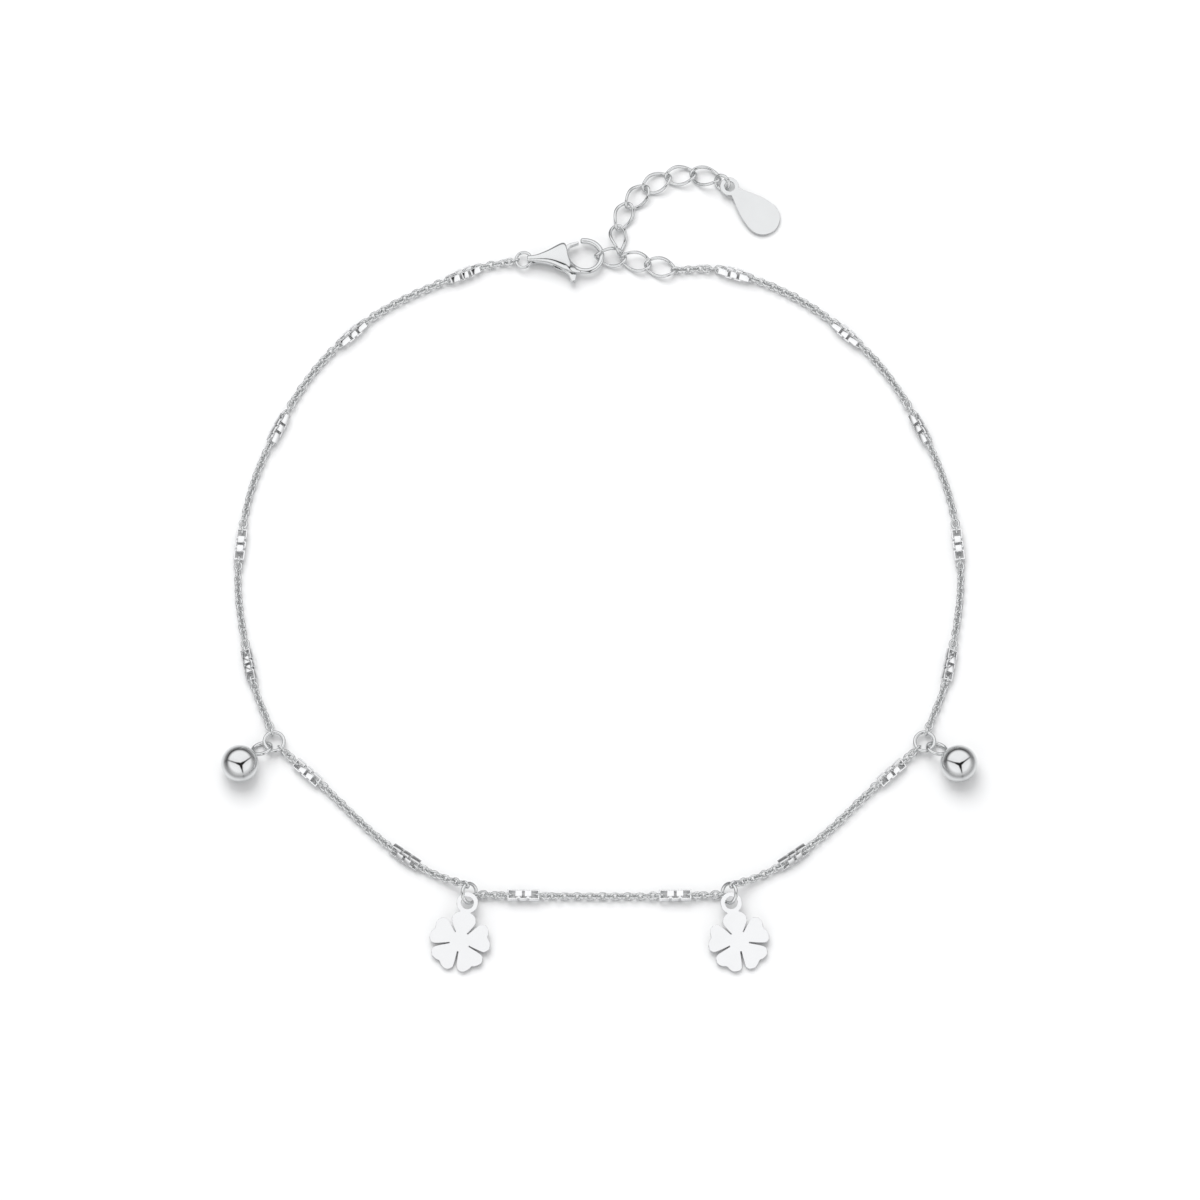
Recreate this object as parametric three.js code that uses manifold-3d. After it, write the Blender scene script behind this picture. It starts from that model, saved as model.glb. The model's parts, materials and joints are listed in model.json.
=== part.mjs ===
// Ankle bracelet in polished silver, lying closed on a flat surface.
// A fine cable chain with stiff box bars carries two balls and two five-petal flowers.
// It closes with a trigger clasp on an extension chain that ends in a plain tag.
// Millimetres and degrees, +Z up, +Y towards the clasp.

import * as THREE from 'three';
import { mergeVertices } from 'three/addons/utils/BufferGeometryUtils.js';
import Module from 'manifold-3d';

const wasm = await Module();
wasm.setup();

// Fine cable chain
const CHAIN_WIRE = 0.26;
const CHAIN_LINK_LENGTH = 1.3;
const CHAIN_LINK_WIDTH = 1.2;
const CHAIN_BULK = 0.94;
const TUBE_STEP = 2.3;
const SETTLE_LENGTH = 4.5;

// Clearance between two linked wires, and between a length of chain and what it leaves
const PLAY = 0.06;
const RING_PLAY = 0.22;
const EXTENSION_PLAY = 0.18;
const CLAW_PLAY = 0.23;
const TUBE_CLEARANCE = 0.3;

// Box bars
const BAR_WIDTH = 1.15;
const BAR_STRIP = 0.5;
const BAR_PLATE = 0.23;
const BAR_PITCH = 0.5;
const BAR_INNER_BOXES = 3;
const BAR_SOLDER = 0.02;
const BAR_EYE_PLAY = 0.2;

// Rings in line with the chain, which carry the drops
const DROP_RING_OUTER = 2.5;
const DROP_RING_WIRE = 0.36;
const FLOWER_RING_TILT = 46;

// Balls
const BALL_DIAMETER = 4;
const BALL_RING_OUTER = 2.5;
const BALL_RING_WIRE = 0.36;
const BALL_RING_SEAT = 0.08;
const BALL_RING_TILT = 44;

// Flowers
const FLOWER_DIAMETER = 6.55;
const FLOWER_THICKNESS = 0.45;
const FLOWER_SLOT = 0.16;
const FLOWER_EYE_OUTER = 2.3;
const FLOWER_EYE_HOLE = 1.32;
const FLOWER_EYE_REACH = 4.2;

// Extension chain and tag
const EXTENSION_LINK_LENGTH = 3.6;
const EXTENSION_LINK_WIDTH = 2.35;
const EXTENSION_WIRE = 0.34;
const EXTENSION_TWIST = 45;
const TAG_RING_OUTER = 2.05;
const TAG_RING_WIRE = 0.33;
const TAG_RING_TILT = 50;
const TAG_THICKNESS = 0.4;
const TAG_EYE_OUTER = 2;
const TAG_EYE_HOLE = 1.1;
const TAG_REACH = 4.95;
const TAG_ROUND = 3.7;
const TAG_NECK = 1.2;

// How far a flat drop hangs out of the middle of its hole, as a share of the free width there
const DROP_SEAT = 0.02;

// Clasp
const CLASP_LENGTH = 8.1;
const CLASP_HEIGHT = 4.36;
const CLASP_THICKNESS = 2;
const CLASP_EDGE = 0.22;
const CLAW_WIDTH = 0.58;
const CLAW_DEPTH = 0.78;
const LEVER_THICKNESS = 0.7;
const LEVER_CLEARANCE = 0.07;
const PIN_DIAMETER = 0.56;
const HUB_DIAMETER = 1.04;
const CLASP_EYE_HOLE = 0.76;
const CLASP_RING_OUTER = 2;
const CLASP_RING_WIRE = 0.32;
const CLASP_RING_TILT = 11;

// Chosen route of the right half of the chain, as bar centres in plan. The left half mirrors it.
const ROUTE = {
  ballSideBars: [[14.5, 32.1], [26.5, 25.45], [34.4, 14.9], [38.4, 1.95], [37.4, -11.35]],
  frontBars: [[31.15, -23.2], [20.7, -32.55]],
  innerBar: [8.1, -36.8],
  ballRing: [34.74, -19.6],
  ball: [38.37, -22.6],
  flowerRing: [13.85, -36.75],
  claspPin: [-4.2, 33.6],
};

// Turn of each bar about its own length, in the order of the route from the clasp
const BAR_TURNS = [45, 40, 50, 0, 45, 50, 40, 12];

// Directions in plan, for the right half, x outwards
const BALL_RING_AIM = [1.48, -0.95];
const FLOWER_RING_AIM = [0.195, -0.981];
const CHAIN_MEETS_BALL_RING = [[0.23, 0.97], [-0.69, -0.72]];
const CHAIN_MEETS_FLOWER_RING = [[0.72, 0.7], [-1, -0.05]];

// Headings and turns of the extension links, from the claw, then of the loose end
const CLOSED_LINKS = [
  { heading: -3, turn: 35.5, endHeight: 0.84 },
  { heading: -15, turn: 24, endHeight: 0.7 },
  { heading: -11, turn: 11, endHeight: 0.53 },
];
const LOOSE_LINKS = [
  { heading: 92, turn: 41, endHeight: 0.85 },
  { heading: 66, turn: 28, endHeight: 0.8 },
  { heading: 47, turn: 14.5, endHeight: 0.6 },
  { heading: 27.5, turn: 1, endHeight: 0.59 },
  { heading: 7, turn: 1, endHeight: 0.48 },
  { heading: -13, turn: -4.5, endHeight: 0.84 },
];
const TAG_HEADING = -42;
const LOOSE_END_MEETS = 60;

const silver = new THREE.MeshStandardMaterial({ color: 0xd9dbdc, roughness: 0.12, metalness: 1 });
const chainSilver = new THREE.MeshStandardMaterial({ color: 0xcfd1d2, roughness: 0.2, metalness: 1 });
const UP = new THREE.Vector3(0, 0, 1);
const bracelet = new THREE.Group();

// Plain helpers

function radians(degrees) {
  return THREE.MathUtils.degToRad(degrees);
}

function planar(pair, height = 0) {
  return new THREE.Vector3(pair[0], pair[1], height);
}

function mirrored(vector, side) {
  return new THREE.Vector3(vector.x * side, vector.y, vector.z);
}

function heading(degrees, climb = 0) {
  const flat = Math.sqrt(1 - climb * climb);
  return new THREE.Vector3(Math.cos(radians(degrees)) * flat, Math.sin(radians(degrees)) * flat, climb);
}

// Frame with its x along one direction and its z as near another as it can be
function frameAt(origin, along, upward) {
  const x = along.clone().normalize();
  const z = upward.clone().addScaledVector(x, -upward.dot(x)).normalize();
  const y = new THREE.Vector3().crossVectors(z, x);
  return new THREE.Matrix4().makeBasis(x, y, z).setPosition(origin);
}

function solidOf(geometry, frame = null) {
  const bare = geometry.clone();
  bare.deleteAttribute('normal');
  bare.deleteAttribute('uv');
  if (frame) {
    bare.applyMatrix4(frame);
  }
  const welded = mergeVertices(bare, 1e-5);
  const vertProperties = welded.attributes.position.array;
  const triVerts = Uint32Array.from(welded.index.array);
  return new wasm.Manifold(new wasm.Mesh({ numProp: 3, vertProperties, triVerts }));
}

function geometryOf(solid) {
  const mesh = solid.getMesh();
  const geometry = new THREE.BufferGeometry();
  geometry.setAttribute('position', new THREE.BufferAttribute(mesh.vertProperties, 3));
  geometry.setIndex(new THREE.BufferAttribute(mesh.triVerts, 1));
  geometry.computeVertexNormals();
  return geometry;
}

function addPiece(name, geometry, material, frame = null) {
  const mesh = new THREE.Mesh(geometry, material);
  mesh.name = name;
  if (frame) {
    frame.decompose(mesh.position, mesh.quaternion, mesh.scale);
  }
  bracelet.add(mesh);
  return mesh;
}

function polygonShape(points) {
  return new THREE.Shape(points.map(([x, y]) => new THREE.Vector2(x, y)));
}

function plateOf(shape, thickness) {
  const plate = new THREE.ExtrudeGeometry(shape, { depth: thickness, bevelEnabled: false, curveSegments: 16 });
  return plate.translate(0, 0, -thickness / 2);
}

function cylinderAlongZ(diameter, length, sides) {
  const cylinder = new THREE.CylinderGeometry(diameter / 2, diameter / 2, length, sides);
  return cylinder.rotateX(Math.PI / 2);
}

// Round ring lying in its own xy plane
function ringGeometry(outer, wire, around, sides) {
  return new THREE.TorusGeometry((outer - wire) / 2, wire / 2, sides, around);
}

// Oval link along x, its ends turned opposite ways about x
function linkGeometry(length, width, wire, twist, around, sides) {
  const ring = ringGeometry(length, wire, around, sides);
  const position = ring.attributes.position;
  const halfLength = (length - wire) / 2;
  const halfWidth = (width - wire) / 2;
  for (let i = 0; i < position.count; i += 1) {
    const angle = Math.atan2(position.getY(i), position.getX(i));
    const offset = Math.hypot(position.getX(i), position.getY(i)) - halfLength;
    const out = new THREE.Vector2(halfWidth * Math.cos(angle), halfLength * Math.sin(angle)).normalize();
    const x = halfLength * Math.cos(angle) + out.x * offset;
    const y = halfWidth * Math.sin(angle) + out.y * offset;
    const z = position.getZ(i);
    const turn = -radians(twist) * x / halfLength;
    position.setXYZ(i, x, y * Math.cos(turn) - z * Math.sin(turn), y * Math.sin(turn) + z * Math.cos(turn));
  }
  return ring;
}

// Closed ring in space, with the points and tangents where other wires meet it
function ringAt(centre, along, across, outer, wire) {
  const radius = (outer - wire) / 2;
  const e1 = along.clone().normalize();
  const e2 = across.clone().normalize();
  const frame = frameAt(centre, e1, new THREE.Vector3().crossVectors(e1, e2));
  function meeting(angle) {
    const spoke = e1.clone().multiplyScalar(Math.cos(angle)).addScaledVector(e2, Math.sin(angle));
    const tangent = e2.clone().multiplyScalar(Math.cos(angle)).addScaledVector(e1, -Math.sin(angle));
    return { point: centre.clone().addScaledVector(spoke, radius), tangent, wire };
  }
  function meetingTowards(direction) {
    return meeting(Math.atan2(direction.dot(e2), direction.dot(e1)));
  }
  return { centre, frame, meeting, meetingTowards };
}

// Box bars: small boxes bent from strip, turned alternately and soldered in a row

function boxSpans() {
  const length = BAR_PITCH + 2 * BAR_PLATE - 2 * BAR_SOLDER;
  const spans = [];
  for (let i = 0; i < BAR_INNER_BOXES; i += 1) {
    const middle = (i - (BAR_INNER_BOXES - 1) / 2) * BAR_PITCH;
    spans.push([middle - length / 2, middle + length / 2]);
  }
  const innerEnd = spans[spans.length - 1][1];
  const start = innerEnd - 2 * BAR_PLATE + 2 * BAR_SOLDER;
  const end = innerEnd + CHAIN_WIRE + PLAY + BAR_EYE_PLAY + BAR_PLATE;
  return [[-end, -start], ...spans, [start, end]];
}

function boxGeometry([start, end]) {
  const half = BAR_WIDTH / 2;
  const shape = polygonShape([[start, -half], [end, -half], [end, half], [start, half]]);
  const inset = BAR_PLATE;
  shape.holes.push(polygonShape([
    [start + inset, -half + inset],
    [start + inset, half - inset],
    [end - inset, half - inset],
    [end - inset, -half + inset],
  ]));
  return plateOf(shape, BAR_STRIP);
}

const BAR_SPANS = boxSpans();
const BAR_HALF_LENGTH = BAR_SPANS[BAR_SPANS.length - 1][1];
const BAR_EYE = BAR_HALF_LENGTH - BAR_PLATE - BAR_EYE_PLAY - CHAIN_WIRE / 2;

function barGeometry() {
  let bar = null;
  BAR_SPANS.forEach((span, i) => {
    const box = boxGeometry(span);
    if (i % 2 === 0) {
      box.rotateX(Math.PI / 2);
    }
    bar = bar ? bar.add(solidOf(box)) : solidOf(box);
  });
  return geometryOf(bar);
}

function barRestHeight(turn) {
  const s = Math.abs(Math.sin(radians(turn)));
  const c = Math.abs(Math.cos(radians(turn)));
  return Math.max(BAR_WIDTH * c + BAR_STRIP * s, BAR_WIDTH * s + BAR_STRIP * c) / 2;
}

// Place where a chain run starts: a point inside the thing it holds, and the wire or plate it goes round
function barPort(bar, sense) {
  const along = bar.along.clone().multiplyScalar(sense);
  const round = bar.across;
  return { point: bar.centre.clone().addScaledVector(along, BAR_EYE), aim: along, round };
}

function ringPort(meeting, flatAim) {
  const back = meeting.wire / 2 + CHAIN_WIRE / 2 + PLAY;
  const slope = (-2 * (meeting.point.z - CHAIN_BULK / 2)) / SETTLE_LENGTH;
  const aim = flatAim.clone().setZ(slope).normalize();
  const point = meeting.point.clone().addScaledVector(aim, -back);
  return { point, aim: flatAim.clone(), round: meeting.tangent };
}

// Chain runs

function fall(distance) {
  const share = Math.max(0, 1 - distance / SETTLE_LENGTH);
  return share * share;
}

// Curve of a run: smooth in plan, down to the surface between its two ends
function runCurve(start, end) {
  const span = start.point.distanceTo(end.point);
  const plan = new THREE.CubicBezierCurve3(
    start.point,
    start.point.clone().addScaledVector(start.aim, span / 3),
    end.point.clone().addScaledVector(end.aim, span / 3),
    end.point,
  );
  const steps = Math.max(4, 2 * Math.ceil(span / TUBE_STEP));
  const rest = CHAIN_BULK / 2;
  const points = plan.getSpacedPoints(steps);
  points.forEach((point, i) => {
    const along = (i / steps) * span;
    const left = (start.point.z - rest) * fall(along);
    const right = (end.point.z - rest) * fall(span - along);
    point.z = rest + left + right;
  });
  points[0].z = start.point.z;
  points[steps].z = end.point.z;
  return new THREE.CatmullRomCurve3(points);
}

function endLinkSolid(port, along) {
  const centre = port.point.clone().addScaledVector(along, (CHAIN_LINK_LENGTH - CHAIN_WIRE) / 2);
  const link = linkGeometry(CHAIN_LINK_LENGTH, CHAIN_LINK_WIDTH, CHAIN_WIRE, 0, 10, 5);
  return solidOf(link, frameAt(centre, along, port.round));
}

function octagon(radius) {
  const shape = new THREE.Shape();
  for (let i = 0; i < 8; i += 1) {
    const angle = radians(22.5 + 45 * i);
    const method = i === 0 ? 'moveTo' : 'lineTo';
    shape[method](radius * Math.cos(angle), radius * Math.sin(angle));
  }
  return shape;
}

function addRun(name, start, end) {
  const curve = runCurve(start, end);
  const length = curve.getLength();
  const margin = CHAIN_LINK_LENGTH / 2 - CHAIN_WIRE / 2 + TUBE_CLEARANCE;
  const steps = Math.max(2, Math.round((length - 2 * margin) / TUBE_STEP));
  const points = [];
  for (let i = 0; i <= steps; i += 1) {
    points.push(curve.getPointAt((margin + (length - 2 * margin) * (i / steps)) / length));
  }
  const path = new THREE.CatmullRomCurve3(points);
  const tube = new THREE.ExtrudeGeometry(octagon(CHAIN_BULK / 2), { steps, extrudePath: path });
  const first = endLinkSolid(start, curve.getTangentAt(0));
  const last = endLinkSolid(end, curve.getTangentAt(1).negate());
  addPiece(name, geometryOf(solidOf(tube).add(first).add(last)), chainSilver);
}

// Rings and drops of one side

function addBallDrop(side, word) {
  const ballCentre = mirrored(planar(ROUTE.ball, BALL_DIAMETER / 2), side);
  const ringRadius = (BALL_RING_OUTER - BALL_RING_WIRE) / 2;
  const dropRadius = (DROP_RING_OUTER - DROP_RING_WIRE) / 2;
  const reach = BALL_DIAMETER / 2 + BALL_RING_OUTER / 2 - BALL_RING_SEAT;
  const low = Math.sin(radians(BALL_RING_TILT)) * ringRadius + BALL_RING_WIRE / 2 + PLAY;
  const drop = (BALL_DIAMETER / 2 - low) / reach;
  const plan = mirrored(planar(ROUTE.ballRing).sub(planar(ROUTE.ball)).normalize(), side);
  const aim = plan.clone().multiplyScalar(Math.sqrt(1 - drop * drop)).setZ(-drop);
  const ringCentre = ballCentre.clone().addScaledVector(aim, reach);
  const sideways = new THREE.Vector3().crossVectors(UP, plan);
  const tilted = sideways.clone().multiplyScalar(Math.cos(radians(BALL_RING_TILT)) * side);
  tilted.addScaledVector(UP, Math.sin(radians(BALL_RING_TILT)));
  const across = tilted.addScaledVector(aim, -tilted.dot(aim)).normalize();
  const soldered = ringAt(ringCentre, aim, across, BALL_RING_OUTER, BALL_RING_WIRE);
  const sphere = new THREE.SphereGeometry(BALL_DIAMETER / 2, 16, 10);
  const ballFrame = new THREE.Matrix4().makeRotationX(Math.PI / 2).setPosition(ballCentre);
  const ring = ringGeometry(BALL_RING_OUTER, BALL_RING_WIRE, 12, 6);
  const drops = solidOf(sphere, ballFrame).add(solidOf(ring, soldered.frame));
  addPiece(`ball_${word}`, geometryOf(drops), silver);

  const apart = ringRadius + dropRadius - BALL_RING_WIRE / 2 - DROP_RING_WIRE / 2 - RING_PLAY;
  const held = mirrored(planar(BALL_RING_AIM).normalize(), side).negate();
  const holdHeight = ringCentre.z - drop * (ringRadius - BALL_RING_WIRE / 2 - DROP_RING_WIRE / 2 - PLAY);
  const restHeight = CHAIN_LINK_WIDTH / 2 + PLAY;
  const centre = ringCentre.clone().addScaledVector(held, apart).setZ((holdHeight + restHeight) / 2);
  const rise = Math.asin((holdHeight - centre.z) / dropRadius);
  const towardsBall = held.clone().negate().multiplyScalar(Math.cos(rise)).addScaledVector(UP, Math.sin(rise));
  const level = new THREE.Vector3().crossVectors(UP, held).negate();
  const dropRing = ringAt(centre, towardsBall, level, DROP_RING_OUTER, DROP_RING_WIRE);
  addPiece(`ball_ring_${word}`, ringGeometry(DROP_RING_OUTER, DROP_RING_WIRE, 12, 6), silver, dropRing.frame);
  return dropRing;
}

function petalPoints(angle, notched) {
  const outer = FLOWER_DIAMETER / 2;
  const slotStart = outer * 0.34;
  const halfAngle = Math.PI / 5;
  const rim = notched ? [[0.75, 32.6], [0.9, 30], [0.985, 23], [1, 15.5], [0.965, 7.5], [0.915, 0]]
    : [[0.72, 31.6], [0.85, 27], [0.94, 19.5], [0.985, 10], [1, 0]];
  const half = [new THREE.Vector2(
    slotStart * Math.cos(halfAngle) + (FLOWER_SLOT / 2) * Math.sin(halfAngle),
    slotStart * Math.sin(halfAngle) - (FLOWER_SLOT / 2) * Math.cos(halfAngle),
  )];
  rim.forEach(([share, degrees]) => {
    const turn = radians(degrees);
    half.push(new THREE.Vector2(outer * share * Math.cos(turn), outer * share * Math.sin(turn)));
  });
  const other = half.slice(0, -1).reverse().map((point) => new THREE.Vector2(point.x, -point.y));
  const whole = [...half, ...other].reverse();
  return whole.map((point) => point.clone().rotateAround(new THREE.Vector2(), angle));
}

// Flower in its own xy plane, centred on its eye hole, its petals towards +x
function flowerGeometry() {
  const outline = [];
  for (let i = 0; i < 5; i += 1) {
    outline.push(...petalPoints(Math.PI + (i * 2 * Math.PI) / 5, i !== 0));
  }
  const petals = solidOf(plateOf(new THREE.Shape(outline), FLOWER_THICKNESS).translate(FLOWER_EYE_REACH, 0, 0));
  const eye = solidOf(cylinderAlongZ(FLOWER_EYE_OUTER, FLOWER_THICKNESS, 16));
  const hole = solidOf(cylinderAlongZ(FLOWER_EYE_HOLE, 2 * FLOWER_THICKNESS, 16));
  return geometryOf(petals.add(eye).subtract(hole));
}

function addFlowerDrop(side, word) {
  const radius = (DROP_RING_OUTER - DROP_RING_WIRE) / 2;
  const tilt = radians(FLOWER_RING_TILT);
  const height = CHAIN_LINK_WIDTH / 2 + PLAY + radius * Math.sin(tilt);
  const centre = mirrored(planar(ROUTE.flowerRing, height), side);
  const aim = mirrored(planar(FLOWER_RING_AIM).normalize(), side);
  const outwards = new THREE.Vector3().crossVectors(UP, aim).multiplyScalar(side);
  const across = outwards.multiplyScalar(Math.cos(tilt)).addScaledVector(UP, Math.sin(tilt));
  const ring = ringAt(centre, aim, across, DROP_RING_OUTER, DROP_RING_WIRE);
  addPiece(`flower_ring_${word}`, ringGeometry(DROP_RING_OUTER, DROP_RING_WIRE, 12, 6), silver, ring.frame);

  const hold = (FLOWER_EYE_HOLE - DROP_RING_WIRE) * DROP_SEAT;
  const eye = centre.clone().addScaledVector(aim, radius + hold);
  const length = FLOWER_EYE_REACH + FLOWER_DIAMETER / 2;
  const sink = (height - FLOWER_THICKNESS / 2) / length;
  const swing = aim.clone().multiplyScalar(Math.sqrt(1 - sink * sink)).setZ(-sink);
  addPiece(`flower_${word}`, flowerGeometry(), silver, frameAt(eye, swing, UP));
  return ring;
}

// Clasp outlines, as shares of its length and height from the pin, seen with the tail on the left

const BODY_OUTLINE = [
  [-0.44, 0.07], [-0.317, 0.1], [-0.012, 0.385], [0.037, 0.413], [0.077, 0.385], [0.093, 0.28],
  [0.111, 0.08], [0.148, -0.057], [0.21, -0.165], [0.272, -0.218], [0.272, -0.37], [0.185, -0.353],
  [0.007, -0.183], [-0.102, -0.103], [-0.44, -0.087],
];
const POCKET_OUTLINE = [
  [-0.093, -0.46], [-0.093, 0.046], [-0.062, 0.115], [0.037, 0.349], [0.093, 0.413], [0.148, 0.48],
  [0.32, 0.48], [0.32, -0.069], [0.148, -0.069], [0.121, -0.142], [0.167, -0.298], [0.167, -0.46],
];
const CLAW_PATH = [
  [0.185, -0.24], [0.284, -0.298], [0.383, -0.298], [0.475, -0.22], [0.533, -0.08], [0.549, 0.08],
  [0.525, 0.252], [0.457, 0.39], [0.364, 0.459], [0.265, 0.463],
];
const GATE_OUTLINE = [
  [-0.04, 0.07], [0.05, 0.31], [0.12, 0.372], [0.275, 0.385], [0.275, 0.325], [0.137, 0.29],
  [0.1, 0.21], [0.052, -0.02],
];
const THUMB_OUTLINE = [
  [-0.05, -0.06], [0.052, -0.04], [0.148, -0.34], [0.222, -0.39], [0.2, -0.58], [0.15, -0.6],
  [0.11, -0.42], [0.035, -0.3],
];
const TAIL_HOLE = [-0.377, -0.008];

function claspPoints(shares) {
  return shares.map(([x, y]) => [x * CLASP_LENGTH, y * CLASP_HEIGHT]);
}

function claspBodyGeometry() {
  const shape = polygonShape(claspPoints(BODY_OUTLINE));
  const block = new THREE.ExtrudeGeometry(shape, {
    depth: CLASP_THICKNESS - 2 * CLASP_EDGE,
    bevelEnabled: true,
    bevelThickness: CLASP_EDGE,
    bevelSize: CLASP_EDGE,
    bevelOffset: -CLASP_EDGE,
    bevelSegments: 2,
  }).translate(0, 0, CLASP_EDGE - CLASP_THICKNESS / 2);
  const pocket = plateOf(polygonShape(claspPoints(POCKET_OUTLINE)), LEVER_THICKNESS + 2 * LEVER_CLEARANCE);
  const pin = cylinderAlongZ(PIN_DIAMETER, CLASP_THICKNESS - CLASP_EDGE, 12);
  const [holeX, holeY] = claspPoints([TAIL_HOLE])[0];
  const hole = new THREE.CylinderGeometry(CLASP_EYE_HOLE / 2, CLASP_EYE_HOLE / 2, CLASP_HEIGHT / 2, 12);
  hole.translate(holeX, holeY, 0);
  const route = claspPoints(CLAW_PATH).map(([x, y]) => new THREE.Vector3(x, y, 0));
  const section = new THREE.Shape();
  section.absellipse(0, 0, CLAW_DEPTH / 2, CLAW_WIDTH / 2, 0, 2 * Math.PI, false, 0);
  const claw = new THREE.ExtrudeGeometry(section, {
    steps: 14,
    curveSegments: 4,
    extrudePath: new THREE.CatmullRomCurve3(route),
  });
  const tip = new THREE.SphereGeometry(CLAW_WIDTH / 2, 10, 6);
  tip.scale(1, 1, CLAW_DEPTH / CLAW_WIDTH);
  tip.translate(route[route.length - 1].x, route[route.length - 1].y, 0);
  const walls = solidOf(block).subtract(solidOf(pocket)).subtract(solidOf(hole));
  return geometryOf(walls.add(solidOf(pin)).add(solidOf(claw)).add(solidOf(tip)));
}

function leverGeometry() {
  const gate = plateOf(polygonShape(claspPoints(GATE_OUTLINE).reverse()), LEVER_THICKNESS);
  const thumb = plateOf(polygonShape(claspPoints(THUMB_OUTLINE).reverse()), LEVER_THICKNESS);
  const hub = cylinderAlongZ(HUB_DIAMETER, LEVER_THICKNESS, 16);
  const bore = cylinderAlongZ(PIN_DIAMETER + 2 * LEVER_CLEARANCE, 2 * LEVER_THICKNESS, 16);
  const plates = solidOf(gate).add(solidOf(thumb)).add(solidOf(hub));
  return geometryOf(plates.subtract(solidOf(bore)));
}

const claspCentre = planar(ROUTE.claspPin, CLASP_THICKNESS / 2);

function addClasp() {
  const frame = new THREE.Matrix4().setPosition(claspCentre);
  addPiece('clasp_body', claspBodyGeometry(), silver, frame);
  addPiece('clasp_lever', leverGeometry(), silver, frame);
  const [holeX, holeY] = claspPoints([TAIL_HOLE])[0];
  const radius = (CLASP_RING_OUTER - CLASP_RING_WIRE) / 2;
  const tailHalf = ((BODY_OUTLINE[0][1] - BODY_OUTLINE[BODY_OUTLINE.length - 1][1]) / 2) * CLASP_HEIGHT;
  const bow = radius - Math.sqrt(radius * radius - tailHalf * tailHalf);
  const slack = (CLASP_EYE_HOLE - CLASP_RING_WIRE) / 2 - 1.5 * PLAY - bow;
  const tilt = radians(CLASP_RING_TILT);
  const along = new THREE.Vector3(-Math.cos(tilt), 0, -Math.sin(tilt));
  const pull = claspCentre.clone().add(new THREE.Vector3(holeX - slack, holeY, 0));
  const centre = pull.addScaledVector(along, radius);
  const ring = ringAt(centre, along, new THREE.Vector3(0, 1, 0), CLASP_RING_OUTER, CLASP_RING_WIRE);
  addPiece('clasp_ring', ringGeometry(CLASP_RING_OUTER, CLASP_RING_WIRE, 12, 6), silver, ring.frame);
  return ring;
}

// Extension chain

const EXTENSION_REACH = (EXTENSION_LINK_LENGTH - EXTENSION_WIRE) / 2;
const EXTENSION_PITCH = EXTENSION_LINK_LENGTH - 2 * EXTENSION_WIRE - EXTENSION_PLAY;
const EXTENSION_STEP_BACK = (EXTENSION_WIRE + EXTENSION_PLAY) / 2;

function extensionFrame(start, row, startHeight) {
  const climb = (row.endHeight - startHeight) / EXTENSION_PITCH;
  const along = heading(row.heading, climb);
  const centre = start.clone().addScaledVector(along, EXTENSION_REACH - EXTENSION_STEP_BACK);
  const upward = UP.clone().applyAxisAngle(along, radians(row.turn));
  return { along, centre, frame: frameAt(centre, along, upward) };
}

function addExtensionRow(rows, names, start) {
  let junction = start.clone();
  const placed = [];
  rows.forEach((row, i) => {
    const link = extensionFrame(junction, row, junction.z);
    const geometry = linkGeometry(
      EXTENSION_LINK_LENGTH, EXTENSION_LINK_WIDTH, EXTENSION_WIRE, EXTENSION_TWIST, 12, 6,
    );
    addPiece(names[i], geometry, silver, link.frame);
    placed.push(link);
    junction = junction.clone().addScaledVector(link.along, EXTENSION_PITCH);
  });
  return { placed, junction };
}

// Point of a placed link's wire, at an angle from its far end
function wirePoint(link, degrees) {
  const angle = radians(degrees);
  const halfWidth = (EXTENSION_LINK_WIDTH - EXTENSION_WIRE) / 2;
  const x = EXTENSION_REACH * Math.cos(angle);
  const y = halfWidth * Math.sin(angle);
  const turn = -radians(EXTENSION_TWIST) * x / EXTENSION_REACH;
  return new THREE.Vector3(x, y * Math.cos(turn), y * Math.sin(turn)).applyMatrix4(link.frame);
}

function addExtension() {
  const clawReach = claspPoints([CLAW_PATH[5]])[0];
  const clawInside = clawReach[0] - CLAW_WIDTH / 2;
  const hold = new THREE.Vector3(clawInside - CLAW_PLAY - EXTENSION_WIRE / 2, clawReach[1], 0.05).add(claspCentre);
  const first = heading(CLOSED_LINKS[0].heading);
  const start = hold.clone().addScaledVector(first, EXTENSION_STEP_BACK);
  const closedNames = CLOSED_LINKS.map((row, i) => `extension_link_${i + 1}`);
  const closed = addExtensionRow(CLOSED_LINKS, closedNames, start);

  const looseNames = LOOSE_LINKS.map((row, i) => `extension_link_${i + 1 + CLOSED_LINKS.length}`);
  const held = wirePoint(closed.placed[0], LOOSE_END_MEETS);
  const looseStart = held.clone().addScaledVector(heading(LOOSE_LINKS[0].heading), -EXTENSION_STEP_BACK);
  const loose = addExtensionRow(LOOSE_LINKS, looseNames, looseStart);
  return { closedEnd: closed.placed[closed.placed.length - 1], looseEnd: loose.junction };
}

// Tag in its own xy plane, centred on its eye hole, its round end towards +x
function tagGeometry() {
  const round = TAG_ROUND / 2;
  const slope = Math.asin((round - TAG_NECK / 2) / TAG_REACH);
  const outline = new THREE.Shape();
  outline.moveTo(0, -TAG_NECK / 2);
  outline.absarc(TAG_REACH, 0, round, -Math.PI / 2 - slope, Math.PI / 2 + slope, false);
  outline.lineTo(0, TAG_NECK / 2);
  const drop = solidOf(plateOf(outline, TAG_THICKNESS));
  const eye = solidOf(cylinderAlongZ(TAG_EYE_OUTER, TAG_THICKNESS, 16));
  const hole = solidOf(cylinderAlongZ(TAG_EYE_HOLE, 2 * TAG_THICKNESS, 16));
  return geometryOf(drop.add(eye).subtract(hole));
}

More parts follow.
